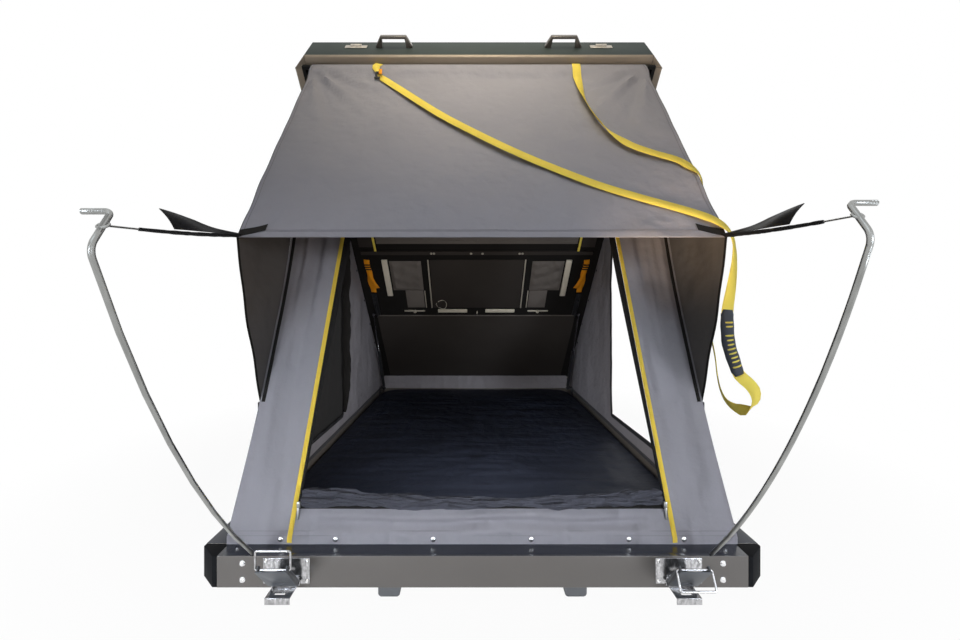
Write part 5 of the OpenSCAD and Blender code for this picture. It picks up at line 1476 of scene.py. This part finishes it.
class TENT_OT_metal(bpy.types.Operator):
    """Shell, latches, rods, struts and hinges with rounded edges and their finishes"""
    bl_idname = "tent.metal"
    bl_label = "Metal and mouldings"

    def execute(self, context):
        for look, rounding, nodes in METAL:
            for node in nodes:
                # The base rails' rounded edges take the painted highlight
                rim = node in BASE_RAILS
                obj = node_copy(node, node + "_body", rounding / 1000, rim)
                paint(obj, finish(look), *([finish("base edge")] if rim else []))
                carry(obj, BODY_OF[node], SLOT_OF[node], node)
        for node, look in PLAIN.items():
            materials = frame["nodes"][node].data.materials
            materials.clear()
            materials.append(finish(look))
        # The rails' top faces take the ledge colour: the dark seal with painted shade under the canvas hem
        for node in BASE_RAILS:
            mesh = bpy.data.objects[node + "_body"].data
            mesh.materials.append(finish("ledge"))
            for f in mesh.polygons:
                if f.normal.z > 0.9 and f.center.z > LEDGE - 0.002:
                    f.material_index = len(mesh.materials) - 1
        up = LID_TURN.to_3x3() @ Vector((0, 0, 1))
        band_top = (LID_TURN @ Vector((0, 0, LID_UNDER))).dot(up) + BAND_HEIGHT
        for node in LID_FRAME:
            mesh = bpy.data.objects[node + "_body"].data
            mesh.materials.append(finish("band inside"))
            mesh.materials.append(finish("band"))
            for f in mesh.polygons:
                off = abs(f.center.x)
                # Faces that look to the middle take the band's colour darkened: painted shade
                if f.normal.x * f.center.x < -0.3 * off and off > LID_INNER:
                    f.material_index = len(mesh.materials) - 2
                elif f.center.dot(up) < band_top:
                    f.material_index = len(mesh.materials) - 1
        return {"FINISHED"}


# The camera that matches the photograph
EYE = (-0.02615, -2.21329, 0.73863)
SENSOR, LENS = 36, 17.437
SHIFT = (0.0085, -0.0243)
# Tints of the lamps
COOL, SKY = (0.83, 0.90, 1), (0.78, 0.90, 1)
CREAM, SUN, WARM = (1, 0.93, 0.84), (1, 0.88, 0.64), (1, 0.76, 0.52)
# Lamp: place, aim, size, watts, tint and beam in degrees
LAMPS = {
    "key": ((-1.2, -3.6, 4.6), (0, -0.5, 1.0), 2.4, 25, SKY, 180),
    "left": ((-1.9, -3.6, 0.75), (-0.55, -1.05, 0.08), 1.1, 4.2, COOL, 32),
    "right": ((2.1, -3.6, 0.75), (0.55, -1.05, 0.16), 1.2, 5.8, COOL, 42),
    "low": ((0, -3.3, 0.6), (0, -1, 0.20), 1.0, 0.15, COOL, 44),
    "lid": ((0, -3.2, 1.95), (0, -0.45, 1.72), 0.8, 0.9, CREAM, 26),
    "top": ((0, -1.0, 2.35), (0, -0.36, 1.66), 0.9, 4.6, SUN, 110),
    "warm left": ((-0.30, -1.35, 0.66), (-0.60, -0.92, 0.85), 0.2, 0.05, WARM, 54),
    "warm right": ((0.30, -1.35, 0.66), (0.56, -0.94, 0.98), 0.2, 0.55, WARM, 54),
    "inside": ((0, -0.86, 0.46), (0, 0.3, 0.40), 0.4, 4.2, (1, 0.96, 0.90), 180),
    "back": ((1.5, 4.0, 3.6), (0, 0.4, 0.6), 3.0, 60, (1, 1, 1), 180),
}
SMALL_LAMP = 0.5            # lamps under this size stand near the lid and would show in it
FLOOR_SIZE, FLOOR_DROP = 60, 0.0005
FLOOR_FADE = {"From Min": 1.15, "From Max": 1.9, "To Min": 0.95}


def white_where_seen(tree, out, lit, white, share=None):
    """White for the camera, in mirrors and through glass; the lit shader everywhere else."""
    path = tree.nodes.new("ShaderNodeLightPath")
    beyond = math_node(tree, "MAXIMUM", path.outputs["Is Glossy Ray"], path.outputs["Is Transmission Ray"])
    seen = math_node(tree, "MAXIMUM", path.outputs["Is Camera Ray"], beyond)
    if share:
        seen = math_node(tree, "MULTIPLY", seen, share)
    mix = tree.nodes.new("ShaderNodeMixShader")
    tree.links.new(seen, mix.inputs[0])
    tree.links.new(lit.outputs[0], mix.inputs[1])
    tree.links.new(white.outputs[0], mix.inputs[2])
    tree.links.new(mix.outputs[0], out.inputs[0])


def shader(tree, kind, colour, strength=None):
    n = tree.nodes.new(kind)
    n.inputs[0].default_value = (*colour, 1)
    if strength is not None:
        n.inputs[1].default_value = strength
    return n


class TENT_OT_stage(bpy.types.Operator):
    """Floor, soft studio lights and the camera at the photograph's view"""
    bl_idname = "tent.stage"
    bl_label = "Studio"

    def execute(self, context):
        scene = context.scene
        deselect()
        self.camera(scene)
        self.floor()
        self.world(scene)
        self.lamps(scene)
        scene.view_settings.view_transform = "Standard"
        return {"FINISHED"}

    def camera(self, scene):
        cam = bpy.data.cameras.new("view")
        eye = bpy.data.objects.new("view", cam)
        scene.collection.objects.link(eye)
        eye.location = EYE
        eye.rotation_euler = (math.pi / 2, 0, 0)
        cam.sensor_width = SENSOR
        cam.lens = LENS
        cam.shift_x, cam.shift_y = SHIFT
        cam.clip_start = 0.01
        scene.camera = eye

    def floor(self):
        """Pale floor that takes shadows near the tent and fades to white around it."""
        bpy.ops.mesh.primitive_plane_add(size=FLOOR_SIZE, location=(0, 0, -FLOOR_DROP))
        floor = settle(named("studio_floor"))
        mat = bpy.data.materials.new("Studio floor")
        mat.use_nodes = True
        tree = mat.node_tree
        tree.nodes.clear()
        out = tree.nodes.new("ShaderNodeOutputMaterial")
        matte = shader(tree, "ShaderNodeBsdfDiffuse", (0.86, 0.86, 0.86))
        glow = shader(tree, "ShaderNodeEmission", (1, 1, 1))
        spot = tree.nodes.new("ShaderNodeTexCoord")
        far = tree.nodes.new("ShaderNodeVectorMath")
        far.operation = "LENGTH"
        tree.links.new(spot.outputs["Object"], far.inputs[0])
        fade = tree.nodes.new("ShaderNodeMapRange")
        for label, value in FLOOR_FADE.items():
            fade.inputs[label].default_value = value
        tree.links.new(far.outputs["Value"], fade.inputs["Value"])
        white_where_seen(tree, out, matte, glow, fade.outputs[0])
        paint(floor, mat)

    def world(self, scene):
        world = bpy.data.worlds.new("Studio")
        scene.world = world
        world.use_nodes = True
        tree = world.node_tree
        tree.nodes.clear()
        out = tree.nodes.new("ShaderNodeOutputWorld")
        fill = shader(tree, "ShaderNodeBackground", (0.95, 0.97, 1.0), 0.10)
        white = shader(tree, "ShaderNodeBackground", (1, 1, 1), 1.0)
        white_where_seen(tree, out, fill, white)

    def lamps(self, scene):
        for name, (place, aim, size, power, tint, beam) in LAMPS.items():
            lamp = bpy.data.lights.new(name, "AREA")
            lamp.size = size
            lamp.energy = power
            lamp.color = tint
            lamp.spread = math.radians(beam)
            obj = bpy.data.objects.new(name, lamp)
            scene.collection.objects.link(obj)
            obj.visible_glossy = size > SMALL_LAMP
            obj.location = place
            obj.rotation_euler = (Vector(aim) - Vector(place)).to_track_quat("-Z", "Y").to_euler()


ORDER = ("stage", "pull_strap", "ties", "front_wall", "side_walls", "awning", "bedding", "ceiling", "metal")


class TENT_PT_dressing(bpy.types.Panel):
    """Lists the settings and the pieces"""
    bl_label = "Tent dressing"
    bl_idname = "TENT_PT_dressing"
    bl_space_type = "VIEW_3D"
    bl_region_type = "UI"
    bl_category = "Tent"

    def draw(self, context):
        for settings in (context.scene.tent_colours, context.scene.tent_sizes):
            for key in settings.__annotations__:
                self.layout.prop(settings, key)
        for key in ORDER:
            self.layout.operator("tent." + key)


CLASSES = (TentColours, TentSizes, TENT_OT_stage, TENT_OT_pull_strap, TENT_OT_ties, TENT_OT_front_wall,
           TENT_OT_side_walls, TENT_OT_awning, TENT_OT_bedding, TENT_OT_ceiling, TENT_OT_metal,
           TENT_PT_dressing)


def register():
    for c in CLASSES:
        bpy.utils.register_class(c)
    bpy.types.Scene.tent_colours = bpy.props.PointerProperty(type=TentColours)
    bpy.types.Scene.tent_sizes = bpy.props.PointerProperty(type=TentSizes)


def unregister():
    del bpy.types.Scene.tent_sizes
    del bpy.types.Scene.tent_colours
    for c in reversed(CLASSES):
        bpy.utils.unregister_class(c)


def main():
    register()
    for key in ORDER:
        getattr(bpy.ops.tent, key)()
    deselect()


if __name__ == "__main__":
    main()
